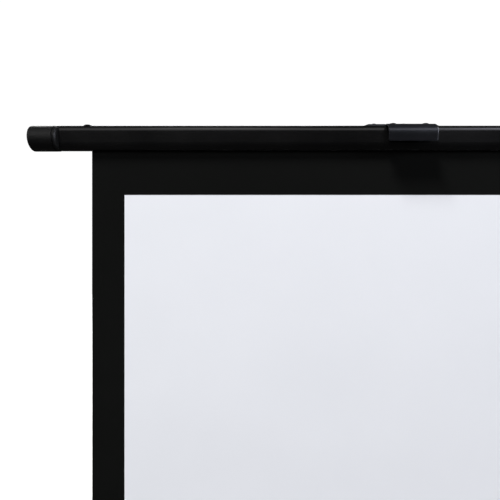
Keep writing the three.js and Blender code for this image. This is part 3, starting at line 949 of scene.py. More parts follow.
@dataclass(frozen=True)
class Metal(Finish):
    """Bare or anodised metal with drawn lines along it."""

    colour: Colour = (0.6, 0.61, 0.62)
    tarnish: Colour = (0.42, 0.42, 0.43)
    shine: Point = (0.3, 0.45)
    lines: float = 1400.0
    relief: float = 0.25
    turn: tuple[float, float, float] = (0.0, 0.0, 0.0)
    scratched: float = 0.4
    metallic: float = 1.0

    def skin(self, graph: Graph, place: bpy.types.Node) -> dict:
        """Drawn lines, tarnish in patches and hairline scratches.

        Args:
            graph: The material's graph.
            place: Its texture coordinates.
        Returns:
            What the shader is fed with.
        """
        at = graph.add("Mapping", {"Vector": place.outputs["Object"],
                                   "Rotation": self.turn}).outputs[0]
        lines = BRUSH.put(graph, Vector=at, Scale=self.lines, Strength=self.relief)
        patches = PATCHES.put(graph, Vector=at, Scale=18.0, Low=0.4, High=0.7)["Mask"]
        marks = SCRATCHES.put(graph, Vector=at, Amount=self.scratched)["Mask"]
        share = graph.math("ADD", graph.times(patches, 0.6), graph.times(lines["Line"], 0.3),
                           clamp=True)
        uneven = graph.math("ADD", patches, marks, clamp=True)
        return {
            "Base Color": graph.mix(share, self.colour, self.tarnish),
            "Roughness": graph.span(uneven, 0.0, 1.0, *self.shine),
            "Normal": lines["Normal"],
            "Metallic": self.metallic,
        }


@dataclass(frozen=True)
class Cloth(Finish):
    """Woven or coated sheet: threads with a painted highlight on their crests, faint shading in
    patches, and a soft sheen.
    """

    colour: Colour = (0.006, 0.006, 0.0055)
    # Second colour: a painted highlight on the thread crests, also mixed in as random tone in
    # patches.
    thread: Colour = (0.012, 0.012, 0.011)
    pitch: float = 0.9 * MM
    relief: float = 0.3
    rough: Point = (0.85, 0.97)
    sheen: float = 0.0
    specular: float = 0.3

    def skin(self, graph: Graph, place: bpy.types.Node) -> dict:
        """Threads for relief and a painted highlight on their crests, and broad faint patches.

        Args:
            graph: The material's graph.
            place: Its texture coordinates.
        Returns:
            What the shader is fed with.
        """
        at = place.outputs["Object"]
        weave = WEAVE.put(graph, Vector=at, Pitch=self.pitch, Strength=self.relief)
        patches = PATCHES.put(graph, Vector=at, Scale=5.0, Low=0.25, High=0.75)["Mask"]
        # Half the mix is the painted highlight on the thread crests, half is random tone in
        # patches.
        share = graph.math("ADD", graph.times(weave["Thread"], 0.5),
                           graph.times(patches, 0.5), clamp=True)
        return {
            "Base Color": graph.mix(share, self.colour, self.thread),
            "Roughness": graph.span(patches, 0.0, 1.0, *self.rough),
            "Normal": weave["Normal"],
            "Specular IOR Level": self.specular,
            "Sheen Weight": self.sheen,
            "Sheen Roughness": 0.5,
        }


POWDER_COAT = Coating("satin_powder_coat", "black_paint", colour=(0.0028, 0.0028, 0.0029),
                      worn=(0.011, 0.011, 0.011), dust=(0.05, 0.049, 0.047), shine=(0.14, 0.2),
                      grain=1100.0, relief=0.1, scratched=0.15, dusty=0.05)
CAP_PLASTIC = Coating("fine_moulded_plastic", "cap_plastic", colour=(0.003, 0.003, 0.0029),
                      worn=(0.009, 0.009, 0.009), dust=(0.05, 0.049, 0.047), shine=(0.42, 0.5),
                      grain=1500.0, relief=0.3, scratched=0.1, dusty=0.05)
CASE_PLASTIC = Coating("moulded_case_plastic", "black_plastic", colour=(0.006, 0.006, 0.0062),
                       worn=(0.016, 0.016, 0.016), dust=(0.07, 0.068, 0.065),
                       shine=(0.45, 0.6), relief=0.45, scratched=0.2)
ENAMEL = Coating("bracket_enamel", "bracket_steel", colour=(0.0028, 0.003, 0.0038),
                 worn=(0.012, 0.0124, 0.0145), dust=(0.06, 0.06, 0.06), shine=(0.24, 0.31),
                 grain=500.0, relief=0.06, scratched=0.2, dusty=0.05, specular=0.85,
                 glint=(0.88, 0.91, 1.0))
BLACK_OXIDE = Coating("black_oxide_screw", "screw_steel", colour=(0.02, 0.02, 0.021),
                      worn=(0.07, 0.07, 0.072), dust=(0.1, 0.1, 0.1), shine=(0.28, 0.4),
                      grain=2500.0, metallic=0.6)
BARE_ALUMINIUM = Metal("mill_aluminium", "bare_aluminium")
ZINC = Metal("zinc_plated_steel", "bare_steel", colour=(0.5, 0.5, 0.51),
             tarnish=(0.34, 0.34, 0.33), shine=(0.28, 0.42), lines=900.0)
NYLON = Coating("natural_nylon", "nylon", colour=(0.7, 0.7, 0.66), worn=(0.6, 0.59, 0.54),
                dust=(0.4, 0.39, 0.36), shine=(0.4, 0.55), grain=700.0, relief=0.2, soft=0.3)
RUBBER = Coating("matte_rubber", "rubber", colour=(0.008, 0.008, 0.008),
                 worn=(0.022, 0.0215, 0.021), dust=(0.08, 0.078, 0.074), shine=(0.75, 0.9),
                 grain=1600.0, relief=0.6, dusty=0.25, specular=0.35)
# Each cloth's second colour is a painted highlight on its thread crests.
BLACK_WEAVE = Cloth("black_backing", "screen_black", colour=(0.0042, 0.0044, 0.0041),
                    thread=(0.0068, 0.007, 0.0066), specular=0.04)
WHITE_FACE = Cloth("matte_white_face", "screen_white", colour=(0.825, 0.84, 0.875),
                   thread=(0.86, 0.87, 0.905), pitch=0.5 * MM, relief=0.12, rough=(0.85, 0.95),
                   specular=0.2)
PILE = Cloth("dense_pile", "pile", colour=(0.006, 0.006, 0.006), thread=(0.02, 0.02, 0.02),
             pitch=0.4 * MM, relief=1.0, sheen=0.1)


# Top bar


@dataclass
class TopBar:
    """The flat-faced bar that carries the fabric, its two end caps and its dome screws."""

    depth: float = 18.4 * MM
    top: float = 22.8 * MM
    bottom: float = 22.3 * MM
    face_top: float = 10.8 * MM
    face_bottom: float = 7.6 * MM
    shoulder: float = 4.9 * MM
    foot: float = 6.2 * MM
    lean: float = 0.34
    wall: float = 1.6 * MM
    slot_width: float = 4 * MM
    tuck: float = 3.2 * MM
    cap_radius: float = 23.05 * MM
    cap_length: float = 47.6 * MM
    cap_edge: float = 2 * MM
    groove_start: float = 2.1 * MM
    groove_end: float = 4.3 * MM
    groove_depth: float = 1.6 * MM
    groove_edge: float = 0.3 * MM
    lip_reach: float = 3.4 * MM
    lip_radius: float = 16.6 * MM
    body: str = "bar"

    def half_outline(self, inset: float, steps: int) -> list[Point]:
        """Right half of the section, drawn in by a distance, from the bottom up.

        Args:
            inset: Distance from the outer skin.
            steps: Chords along each shoulder.
        Returns:
            Points of a flat face between two elliptical shoulders.
        """
        out = self.depth / 2
        fall = self.bottom - self.face_bottom - inset
        rise = self.top - self.face_top - inset
        sine, cosine = math.sin(self.lean), math.cos(self.lean)
        low = [(out - self.foot + (self.foot - inset) * math.cos(turn) / cosine,
                -self.face_bottom - fall * (math.sin(turn) - sine) / (1 - sine))
               for turn in reversed(quarter_turns(steps, self.lean))]
        high = [(out - self.shoulder + (self.shoulder - inset) * math.cos(turn),
                 self.face_top + rise * math.sin(turn)) for turn in quarter_turns(steps)]
        return [*low, *high]

    def outline(self) -> list[Point]:
        """Section of the bar's wall, open at the slot in the underside.

        Returns:
            Points once round the outside and back round the inside.
        """
        lip = self.slot_width / 2
        outer = self.half_outline(0, 12)
        inner = self.half_outline(self.wall, 5)
        right = [(lip, outer[0][1]), *outer]
        inside = [*reversed(inner), (lip, inner[0][1])]
        return [*right, *flipped(right), *flipped(inside), *inside]

    def tube(self) -> None:
        """The bar itself, tucked a little way into both end caps."""
        place = Place.of("top_bar")
        BENCH.draw_out("bar_tube", self.outline(), place.size.x + 2 * self.tuck)
        BENCH.stand(Axis.RIGHT, (place.low.x - self.tuck, 0, place.middle.z))
        BENCH.deliver(POWDER_COAT, self.body, ["top_bar"], smooth=25)

    def cap_profile(self) -> list[Point]:
        """[radius, height] points of the end cap, from its lip to its closed end.

        Returns:
            A curved lip, the groove, the plain side, and the raised disc in the end.
        """
        radius, length, soft = self.cap_radius, self.cap_length, self.groove_edge
        start, end = self.groove_start, self.groove_end
        deep = radius - self.groove_depth
        lip = [(self.lip_radius + (radius - self.lip_radius) * math.sin(turn) ** 0.9,
                start - soft - (start - soft + self.lip_reach) * math.cos(turn) ** 1.1)
               for turn in quarter_turns(7)]
        groove = [
            (radius - soft, start), (deep + soft, start + 0.1 * MM), (deep, start + soft),
            (deep, end - soft), (deep + soft, end), (radius - soft, end + 0.1 * MM),
            (radius, end + soft),
        ]
        corner = arc((radius - self.cap_edge, length - self.cap_edge), self.cap_edge, 0, 1, 7)
        disc = [
            (radius - 4.2 * MM, length), (radius - 4.6 * MM, length - 0.35 * MM),
            (radius - 5.6 * MM, length - 0.4 * MM), (radius - 6 * MM, length - 0.05 * MM),
            (2 * MM, length - 0.02 * MM),
        ]
        return [(3 * MM, -self.lip_reach), *lip, *groove, *corner, *disc]

    def build(self) -> None:
        """Models and dresses the tube, the round caps on its ends and the dome screws."""
        self.tube()
        place = Place.of("top_bar")
        for side, mouth in zip(Side, (place.low.x, place.high.x)):
            BENCH.repeated("bar cap", f"bar_cap_{side.word}",
                           lambda name: BENCH.turn_up(name, self.cap_profile(), 112))
            BENCH.stand(Axis.along_x(side), (mouth, 0, place.middle.z))
            BENCH.deliver(CAP_PLASTIC, self.body, [f"bar_end_cap_{side.word}"])
        for side in Side:
            Screw(f"bar_dome_screw_{side.word}", f"bar_screw_{side.word}",
                  Drive.HEX).make(self.body)
        BARE_ALUMINIUM.dress_nodes("hem_rod")


# Screws and pins


class Drive(Enum):
    """The recess in a screw's head."""

    HEX = "hex"
    CROSS = "cross"


@dataclass
class Screw:
    """A screw with a domed head, made to the size of the node it replaces."""

    name: str
    node: str
    drive: Drive
    reach: float = 6 * MM
    axis: Axis = Axis.UP
    shank: float = 2 * MM
    rim_share: float = 0.22

    def socket(self, radius: float, top: float) -> None:
        """Shapes the tool that cuts the recess.

        Args:
            radius: Radius of the head.
            top: Height of the head's top.
        """
        if self.drive is Drive.HEX:
            size, floor = radius * 0.36, top - 1.9 * MM
            BENCH.turn_up("socket", [(size * 0.9, floor), (size, floor + 0.2 * MM),
                                     (size, top + MM)], 6)
            return
        size, thin, depth = radius * 0.52, radius * 0.11, 1.3 * MM
        cross = [(thin, thin), (thin, size), (-thin, size), (-thin, thin), (-size, thin),
                 (-size, -thin), (-thin, -thin), (-thin, -size), (thin, -size), (thin, -thin),
                 (size, -thin), (size, thin)]
        BENCH.draw_out("socket", cross, depth + MM, taper=1.35)
        BENCH.stand(Axis.UP, (0, 0, top - depth))

    def shape(self, name: str, radius: float, head: float) -> None:
        """Turns the screw, with its head's underside at height 0, and cuts its recess.

        Args:
            name: Name of the piece.
            radius: Radius of the head.
            head: Height of the head.
        """
        rim, edge = head * self.rim_share, 0.15 * MM
        BENCH.turn_up(name, [
            (self.shank * 0.6, -self.reach), (self.shank, 0.6 * MM - self.reach),
            (self.shank, 0), (radius - edge, 0), (radius, edge), (radius, rim),
            *dome(radius, head - rim, rim, 9)[1:]])
        BENCH.carve(lambda: self.socket(radius, head))

    def make(self, body: str) -> None:
        """Puts the screw in its node's place.

        Args:
            body: The body it rides on.
        """
        place = Place.of(self.node)
        way = self.axis.value.col[2]
        along = max(range(3), key=lambda index: abs(way[index]))
        radius = place.size[(along + 1) % 3] / 2
        head = place.size[along] - self.reach
        pattern = f"{self.drive.value} {radius:.6f} {head:.6f} {self.reach} {self.rim_share}"
        BENCH.repeated(pattern, self.name, lambda name: self.shape(name, radius, head))
        seat = place.middle
        seat[along] = (place.low[along] + self.reach if way[along] > 0
                       else place.high[along] - self.reach)
        BENCH.stand(self.axis, seat)
        BENCH.deliver(BLACK_OXIDE, body, [self.node])


@dataclass
class Pin:
    """A pivot pin with an eased head at one end, or a rivet with one at both."""

    name: str
    node: str
    axis: Axis
    rivet: bool = False
    head: float = 8.5 * MM
    head_height: float = 3 * MM
    shank: float = 5 * MM

    def profile(self, length: float) -> list[Point]:
        """[radius, height] points of the pin, from its foot to the dimple in its head.

        Args:
            length: Length of the pin.
        Returns:
            The points.
        """
        neck, edge = length - self.head_height, 0.2 * MM
        head = [(self.shank, neck), (self.head - edge, neck), (self.head, neck + edge),
                (self.head, length - 1.2 * MM), (self.head - edge, length - 0.5 * MM),
                (self.head - 1.2 * MM, length)]
        foot = [(self.shank - 0.5 * MM, 0), (self.shank, 0.5 * MM)]
        if self.rivet:
            foot = [(radius, length - height) for radius, height in reversed(head)]
        dimple = [(2.2 * MM, length), (1.8 * MM, length - 0.6 * MM), (0.3 * MM, length - MM)]
        return [*foot, *head, *dimple]

    def make(self, body: str) -> None:
        """Puts the pin in its node's place, with its head towards the axis's end.

        Args:
            body: The body it rides on.
        """
        place = Place.of(self.node)
        length = place.size.y
        BENCH.repeated(f"pin {length:.6f} {self.rivet}", self.name,
                       lambda name: BENCH.turn_up(name, self.profile(length), 40))
        start = place.high.y if self.axis is Axis.FRONT else place.low.y
        BENCH.stand(self.axis, (place.middle.x, start, place.middle.z))
        BENCH.deliver(ZINC, body, [self.node])


# Hanger and handle


@dataclass
class Hanger:
    """The bracket on the bar's middle, and the pull handle that reaches over its front."""

    thickness: float = 2.5 * MM
    gap: float = 13.5 * MM
    drop: float = 34.5 * MM
    ear: float = 29 * MM
    bend_depth: float = 19 * MM
    bend_height: float = 17.3 * MM
    ease: float = 6.5 * MM
    edge: float = 0.5 * MM
    end_round: float = 2.4 * MM
    corner: float = 2.5 * MM
    lean: float = 2.2 * MM
    plate_setback: float = 2.2 * MM
    plate_slope: float = 0.6 * MM
    bar_half: float = 9.2 * MM
    near: float = 0.3 * MM
    body: str = "bar"

    def front(self, inset: float) -> list[Point]:
        """Points over the handle's shoulder and down its face, with the bar's top at height 0.

        Args:
            inset: Distance from the outer skin.
        Returns:
            Points of a quarter ellipse, of a face that bows back a little, and of its end.
        """
        face = -(self.bar_half + self.gap + self.thickness)
        level = self.thickness - self.bend_height
        height = self.drop - self.bend_height
        slope = self.lean / (height - self.ease / 2)
        bend = [(face + self.bend_depth - (self.bend_depth - inset) * math.cos(turn),
                 level + (self.bend_height - inset) * math.sin(turn))
                for turn in reversed(quarter_turns(16))]
        bow = [(face + inset + slope * self.ease * part * part / 2, level - self.ease * part)
               for part in (step / 8 for step in range(1, 9))]
        return [*bend, *bow, (face + inset + self.lean, level - height)]

    def on_shoulder(self, at: Vector, place: Place) -> bool:
        """Whether a point is on the outer skin of the handle's shoulder.

        Args:
            at: The point.
            place: Where the handle is.
        Returns:
            True if it is.
        """
        across = (at.y - place.low.y) / self.bend_depth - 1
        up = (at.z - place.high.z) / self.bend_height + 1
        return abs(math.hypot(across, up) - 1) < 0.03 and across < 0 < up

    def on_end(self, at: Vector, place: Place) -> bool:
        """Whether a point is on the outer edge of the handle's right end.

        Args:
            at: The point.
            place: Where the handle is.
        Returns:
            True if it is.
        """
        return place.high.x - at.x < self.near and (
            at.y < place.low.y + self.lean + self.near
            and at.z < place.high.z - self.bend_height
            or at.z > place.high.z - self.near or self.on_shoulder(at, place))

    def opening(self, place: Place) -> None:
        """Shapes the tool that opens the handle's top between its two ears.

        Args:
            place: Where the handle is.
        """
        top, over = place.high.z - self.thickness, 5 * MM
        BENCH.box("gap", (place.low.x + self.ear, -self.bar_half - self.near, top - over),
                  (place.high.x - self.ear, self.bar_half + over, top + over))
        BENCH.pick(Part.EDGES, lambda at, way: abs(way.z) > 0.99 and at.y < 0)
        BENCH.round_edges(2 * MM, 5)

    def handle(self) -> None:
        """The bent handle, open between its two ears, with eased edges."""
        place = Place.of("pull_handle")
        outline = [(self.bar_half, self.thickness), *self.front(0),
                   *reversed(self.front(self.thickness)), (self.bar_half, 0)]
        BENCH.draw_out("pull_grip", outline, place.size.x)
        BENCH.stand(Axis.RIGHT, (place.low.x, 0, place.high.z - self.thickness))
        BENCH.pick(Part.EDGES,
                   lambda at, way: abs(way.y) > 0.99 and at.z < place.low.z + self.near)
        BENCH.round_edges(self.corner, 6)
        BENCH.pick(Part.EDGES, lambda at, way: self.on_end(at, place))
        BENCH.round_edges(self.end_round, 4)
        BENCH.carve(lambda: self.opening(place))
        BENCH.bevel(self.edge, 3)
        BENCH.deliver(ENAMEL, self.body, ["pull_handle"])

    def bracket(self) -> None:
        """The flat bracket, with its front edge set back and sloped."""
        place = Place.of("hanger_bracket")
        BENCH.merged_copy("hanger_bracket", "hanger_plate")
        BENCH.pick(Part.CORNERS, lambda at, way: at.y < place.low.y + SKIN)
        BENCH.move((0, self.plate_setback, 0))
        BENCH.pick(Part.CORNERS, lambda at, way: at.z > place.high.z - SKIN
                   and at.y < place.low.y + self.plate_setback + SKIN)
        BENCH.move((0, self.plate_slope, 0))
        BENCH.bevel(0.5 * MM, 3)
        BENCH.deliver(ENAMEL, self.body, ["hanger_bracket"])

    def build(self) -> None:
        """Models and dresses the bracket, the handle, their screws and the pivot pins."""
        self.bracket()
        self.handle()
        for side in Side:
            Screw(f"plate_screw_{side.word}", f"hanger_screw_{side.word}", Drive.CROSS,
                  9 * MM).make(self.body)
            Screw(f"grip_screw_{side.word}", f"handle_screw_{side.word}", Drive.HEX,
                  8.5 * MM).make(self.body)
            Pin(f"hanger_pivot_{side.word}", f"top_pivot_pin_{side.word}",
                Axis.FRONT).make(self.body)


# Fabric


@dataclass
class Screen:
    """The fabric: the black backing with its border, and the white face on its front."""

    cell: float = 14 * MM
    wave: float = 0.7 * MM
    wave_size: float = 0.22
    lift_drop: float = 1.069807
    body: str = "case"

    def hang(self, name: str, node: str, finish: Finish) -> None:
        """Makes one layer where its node is: a fine grid, slightly waved, with its thickness.

        Args:
            name: Name of the piece.
            node: The node it replaces.
            finish: What dresses it.
        """
        place = Place.of(node)
        size = place.size
        BENCH.clear()
        bpy.ops.mesh.primitive_grid_add(
            x_subdivisions=round(size.x / self.cell), y_subdivisions=round(size.z / self.cell),
            size=1, location=place.middle, rotation=(QUARTER, 0, 0))
        bpy.context.object.scale = (size.x, size.z, 1)
        BENCH.started(name)
        BENCH.ripple("tension", self.wave_size, 1, self.wave, direction="Y")
        BENCH.modify("SOLIDIFY", thickness=size.y, offset=0)
        sheet = BENCH.deliver(finish, self.body, [node])
        whole = Place.of("screen_fabric")
        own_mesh(sheet)

    def build(self) -> None:
        """Hangs the backing between the roller and the bar, and the face on it."""
        self.hang("screen_backing", "screen_fabric", BLACK_WEAVE)
        self.hang("screen_face", "screen_surface", WHITE_FACE)


# Case


@dataclass
class Case:
    """The extruded case with its end caps, their screws and the pile seals in its slot."""

    wall: float = 2.2 * MM
    corner: float = 12 * MM
    slot: float = 20 * MM
    lip: float = 9 * MM
    groove: float = 0.6 * MM
    groove_width: float = 2.4 * MM
    groove_place: float = 20 * MM
    cap_edge: float = 1.8 * MM
    panel_inset: float = 15 * MM
    panel_corner: float = 8 * MM
    panel_depth: float = 1 * MM
    bristle: float = 0.5 * MM
    body: str = "case"

    def half_outline(self, half: float, low: float, high: float) -> list[Point]:
        """Right half of the shell's section, from the slot round and back inside.

        Args:
            half: Half the case's depth.
            low: Its underside.
            high: Its top.
        Returns:
            The outer points from the bottom up, then the inner ones from the top down.
        """
        centre = half - self.corner
        inner = self.corner - self.wall
        lips = self.slot / 2
        grooves = [
            (half - inset, place + share * self.groove_width)
            for place in (low + self.groove_place, high - self.groove_place)
            for inset, share in ((0, -0.5), (self.groove, -0.35), (self.groove, 0.35), (0, 0.5))]
        return [
            *arc((centre, low + self.corner), self.corner, -1, 0, 9), *grooves,
            *arc((centre, high - self.corner), self.corner, 0, 1, 9), (lips, high),
            (lips, high - self.lip), (lips + self.wall, high - self.lip),
            (lips + self.wall, high - self.wall),
            *arc((centre, high - self.corner), inner, 1, 0, 4),
            *arc((centre, low + self.corner), inner, 0, -1, 4)]

    def shell(self) -> None:
        """The long extrusion, with two shallow grooves on its front and back."""
        place = Place.of("case_shell")
        right = self.half_outline(place.high.y, place.low.z, place.high.z)
        BENCH.draw_out("case_extrusion", [*right, *flipped(right)], place.size.x)
        BENCH.stand(Axis.RIGHT, (place.low.x, 0, 0))
        BENCH.bevel(0.25 * MM, 2, 50)
        BENCH.deliver(POWDER_COAT, self.body, ["case_shell"])

    def panel(self, half: float, floor: float) -> None:
        """Shapes the tool that sinks a square panel.

        Args:
            half: Half its width.
            floor: Height of the panel's floor.
        """
        BENCH.draw_out("panel", rounded(-half, -half, half, half, self.panel_corner), 2 * MM)
        BENCH.stand(Axis.UP, (0, 0, floor))

    def cap(self, name: str, half: float, tall: float, thick: float) -> None:
        """Shapes an end cap with rounded edges and a sunk panel.

        Args:
            name: Name of the piece.
            half: Half its width.
            tall: Half its height.
            thick: How far it stands out.
        """
        BENCH.draw_out(name, rounded(-half, -tall, half, tall, self.corner, 10), thick)
        BENCH.pick(Part.EDGES, lambda at, way: at.z > thick - SKIN)
        BENCH.round_edges(self.cap_edge, 4)
        BENCH.carve(lambda: self.panel(half - self.panel_inset, thick - self.panel_depth))
        BENCH.bevel(0.35 * MM)

    def caps(self) -> None:
        """A moulded cap on each end, and its two screws."""
        shell_end = Place.of("case_shell").high.x
        for side in Side:
            node = f"case_end_cap_{side.word}"
            place = Place.of(node)
            thick = max(-place.low.x, place.high.x) - shell_end
            BENCH.repeated("case cap", f"case_cap_{side.word}", lambda name: self.cap(
                name, place.high.y, place.size.z / 2, thick))
            BENCH.stand(Axis.along_x(side), (side.value * shell_end, 0, place.middle.z))
            BENCH.deliver(CASE_PLASTIC, self.body, [node])
            for end in ("front", "rear"):
                Screw(f"cap_screw_{side.word}_{end}", f"case_screw_{side.word}_{end}",
                      Drive.CROSS, 22 * MM, Axis.along_x(side)).make(self.body)

    def seal(self, name: str, size: Vector) -> None:
        """Shapes a strip of pile along local Z, with many cuts along it.

        Args:
            name: Name of the piece.
            size: Its length, width and height.
        """
        length, width, height = size
        outline = [(0, 0), (width, 0),
                   *arc((width * 0.7, height * 0.75), width * 0.3, 0, 1, 3),
                   *arc((width * 0.3, height * 0.75), width * 0.3, 1, 2, 3)]
        BENCH.draw_out(name, [(across, min(up, height)) for across, up in outline], length)
        BENCH.pick(Part.EDGES, lambda at, way: abs(way.z) > 0.99)
        bpy.ops.mesh.subdivide(number_cuts=320)

    def seals(self) -> None:
        """Dense pile on both sides of the slot, ragged where it meets the fabric."""
        for end in ("front", "rear"):
            node = f"slot_seal_{end}"
            place = Place.of(node)
            BENCH.repeated("pile seal", f"pile_seal_{end}",
                           lambda name: self.seal(name, place.size))
            BENCH.stand(Axis.RIGHT, place.low)
            BENCH.ripple("bristles", 6 * MM, 2, self.bristle, mid_level=0.9)
            BENCH.deliver(PILE, self.body, [node])

    def build(self) -> None:
        """Models and dresses the case."""
        self.shell()
        self.caps()
        self.seals()


# Roller


@dataclass
class Roller:
    """The spring roller: the last turns of fabric on it, and its torsion spring."""

    fabric: float = 0.5 * MM
    space: float = 0.3 * MM
    turns: float = 1.9
    steps: int = 44
    wire: float = 0.9 * MM
    coils: int = 70
    coil_steps: int = 18

    def spiral(self, start: float, rise: float) -> list[Point]:
        """Points of a spiral round the roller.

        Args:
            start: Radius it starts at.
            rise: How much further out it is after a turn.
        Returns:
            The points, from the inside out.
        """
        parts = [step / self.steps for step in range(round(self.turns * self.steps) + 1)]
        return [((start + rise * part) * math.cos(4 * QUARTER * part),
                 (start + rise * part) * math.sin(4 * QUARTER * part)) for part in parts]

    def winding(self) -> None:
        """The wound fabric, as a spiral sheet round the tube."""
        place = Place.of("wound_fabric")
        start = Place.of("roller_tube").size.z / 2 + self.space
        rise = (place.size.z / 2 - start - self.fabric) / self.turns
        inside = self.spiral(start, rise)
        outside = self.spiral(start + self.fabric, rise)
        BENCH.draw_out("fabric_winding", [*inside, *reversed(outside)], place.size.x)
        BENCH.stand(Axis.RIGHT, (place.low.x, *place.middle.yz))
        piece = BENCH.deliver(BLACK_WEAVE, "roller", ["wound_fabric"])

    def spring(self) -> None:
        """The torsion spring on the left axle, as a thin twisted wire without open coils."""
        place = Place.of("roller_spring")
        BENCH.disc("torsion_spring", self.wire, 8)
        BENCH.pick_all()
        bpy.ops.mesh.delete(type="ONLY_FACE")
        BENCH.modify("SCREW", axis="Z", iterations=self.coils, steps=self.coil_steps,
                     render_steps=self.coil_steps,
                     screw_offset=(place.size.x - 2 * self.wire) / self.coils)
        BENCH.edit(Part.EDGES)
        bpy.ops.mesh.select_non_manifold()
        bpy.ops.mesh.fill_holes(sides=8)
        BENCH.close()
        BENCH.stand(Axis.RIGHT, (place.low.x, *place.middle.yz))
        BENCH.deliver(ZINC, "case", ["roller_spring"])

    def build(self) -> None:
        """Models the winding and the spring, and dresses the rest."""
        self.winding()
        self.spring()
        BARE_ALUMINIUM.dress_nodes("roller_tube")
        NYLON.dress_nodes("roller_plug_left", "roller_plug_right")
        ZINC.dress_nodes("roller_axle_left", "roller_axle_right")


# Feet


@dataclass
class Foot:
    """A swivel foot with its mount, its bolt and two ribbed pads."""

    side: Side
    edge: float = 3.2 * MM
    low_edge: float = 0.8 * MM
    sink_radius: float = 10.6 * MM
    sink_height: float = 5.6 * MM
    channel_width: float = 12 * MM
    channel_depth: float = 1 * MM
    channel_start: float = 34 * MM
    channel_margin: float = 14 * MM
    pad_corner: float = 6 * MM

    def channel(self, near: float, far: float, floor: float) -> None:
        """Shapes the tool that cuts a channel with round ends.

        Args:
            near: Where it starts along the foot.
            far: Where it ends.
            floor: Height of its floor.
        """
        half = self.channel_width / 2
        BENCH.draw_out("channel", rounded(-half, near, half, far, half - 0.2 * MM, 6), 4 * MM)
        BENCH.stand(Axis.UP, (0, 0, floor))

    def bar(self, name: str, size: Vector) -> None:
        """Shapes the foot itself: round ends, soft edges and a channel on each half.

        Args:
            name: Name of the piece.
            size: Its size.
        """
        half, reach = size.x / 2, size.y / 2
        BENCH.draw_out(name, rounded(-half, -reach, half, reach, half - 0.3 * MM, 10), size.z)
        BENCH.pick(Part.EDGES, lambda at, way: at.z > size.z - SKIN)
        BENCH.round_edges(self.edge, 5)
        BENCH.pick(Part.EDGES, lambda at, way: at.z < SKIN)
        BENCH.round_edges(self.low_edge, 2)
        sink = [(self.sink_radius, -2 * MM), (self.sink_radius, self.sink_height)]
        BENCH.carve(lambda: BENCH.turn_up("sink", sink))
        ends = (self.channel_start, reach - self.channel_margin)
        for near, far in ((-ends[1], -ends[0]), ends):
            BENCH.carve(lambda: self.channel(near, far, size.z - self.channel_depth))
        BENCH.bevel(0.3 * MM, 2, 50)

    def pad(self, name: str, size: Vector) -> None:
        """Shapes a rubber pad with ribs round its sides.

        Args:
            name: Name of the piece.
            size: Its size.
        """
        levels = [(0.5, 0), (0, 0.6), (0, 1.5), (0.5, 1.8), (0.5, 2.1), (0, 2.4), (0, 3.3),
                  (0.5, 3.6), (0.5, 3.9), (0, 4.2), (0, 6)]
        half, reach = size.x / 2, size.y / 2
        BENCH.stack(name, rounded(-half, -reach, half, reach, self.pad_corner, 6),
                    [(inset * MM, height * MM) for inset, height in levels])

    def mount(self, name: str, size: Vector) -> None:
        """Shapes the round moulded mount between the case and the foot.

        Args:
            name: Name of the piece.
            size: Its size.
        """
        radius, tall = size.x / 2, size.z
        BENCH.turn_up(name, [
            (radius - 3.2 * MM, 0), (radius - 2.4 * MM, 0.4 * MM),
            (radius - 2.2 * MM, tall * 0.55), (radius - 0.5 * MM, tall * 0.7),
            (radius, tall * 0.76), (radius, tall - 0.3 * MM), (radius - 0.3 * MM, tall)], 64)

    def put(self, name: str, node: str, shape: Callable[[str, Vector], None],
            finish: Finish, body: str) -> None:
        """Stands a piece in its node's place.

        Args:
            name: Name of the piece.
            node: The node it replaces.
            shape: Shapes the piece to a size.
            finish: What dresses it.
            body: The body it rides on.
        """
        place = Place.of(node)
        BENCH.repeated(f"foot {shape.__name__}", name, lambda name: shape(name, place.size))
        BENCH.stand(Axis.UP, (*place.middle.xy, place.low.z))
        BENCH.deliver(finish, body, [node])

    def build(self) -> None:
        """Models and dresses the foot."""
        word = self.side.word
        body = f"{word}_foot"
        self.put(f"foot_bar_{word}", f"foot_{word}", self.bar, POWDER_COAT, body)
        for end in ("front", "rear"):
            self.put(f"pad_{word}_{end}", f"foot_pad_{word}_{end}", self.pad, RUBBER, body)
        self.put(f"mount_{word}", f"foot_mount_{word}", self.mount, CASE_PLASTIC, "case")
        ZINC.dress_nodes(f"foot_bolt_{word}")


# Folding lift


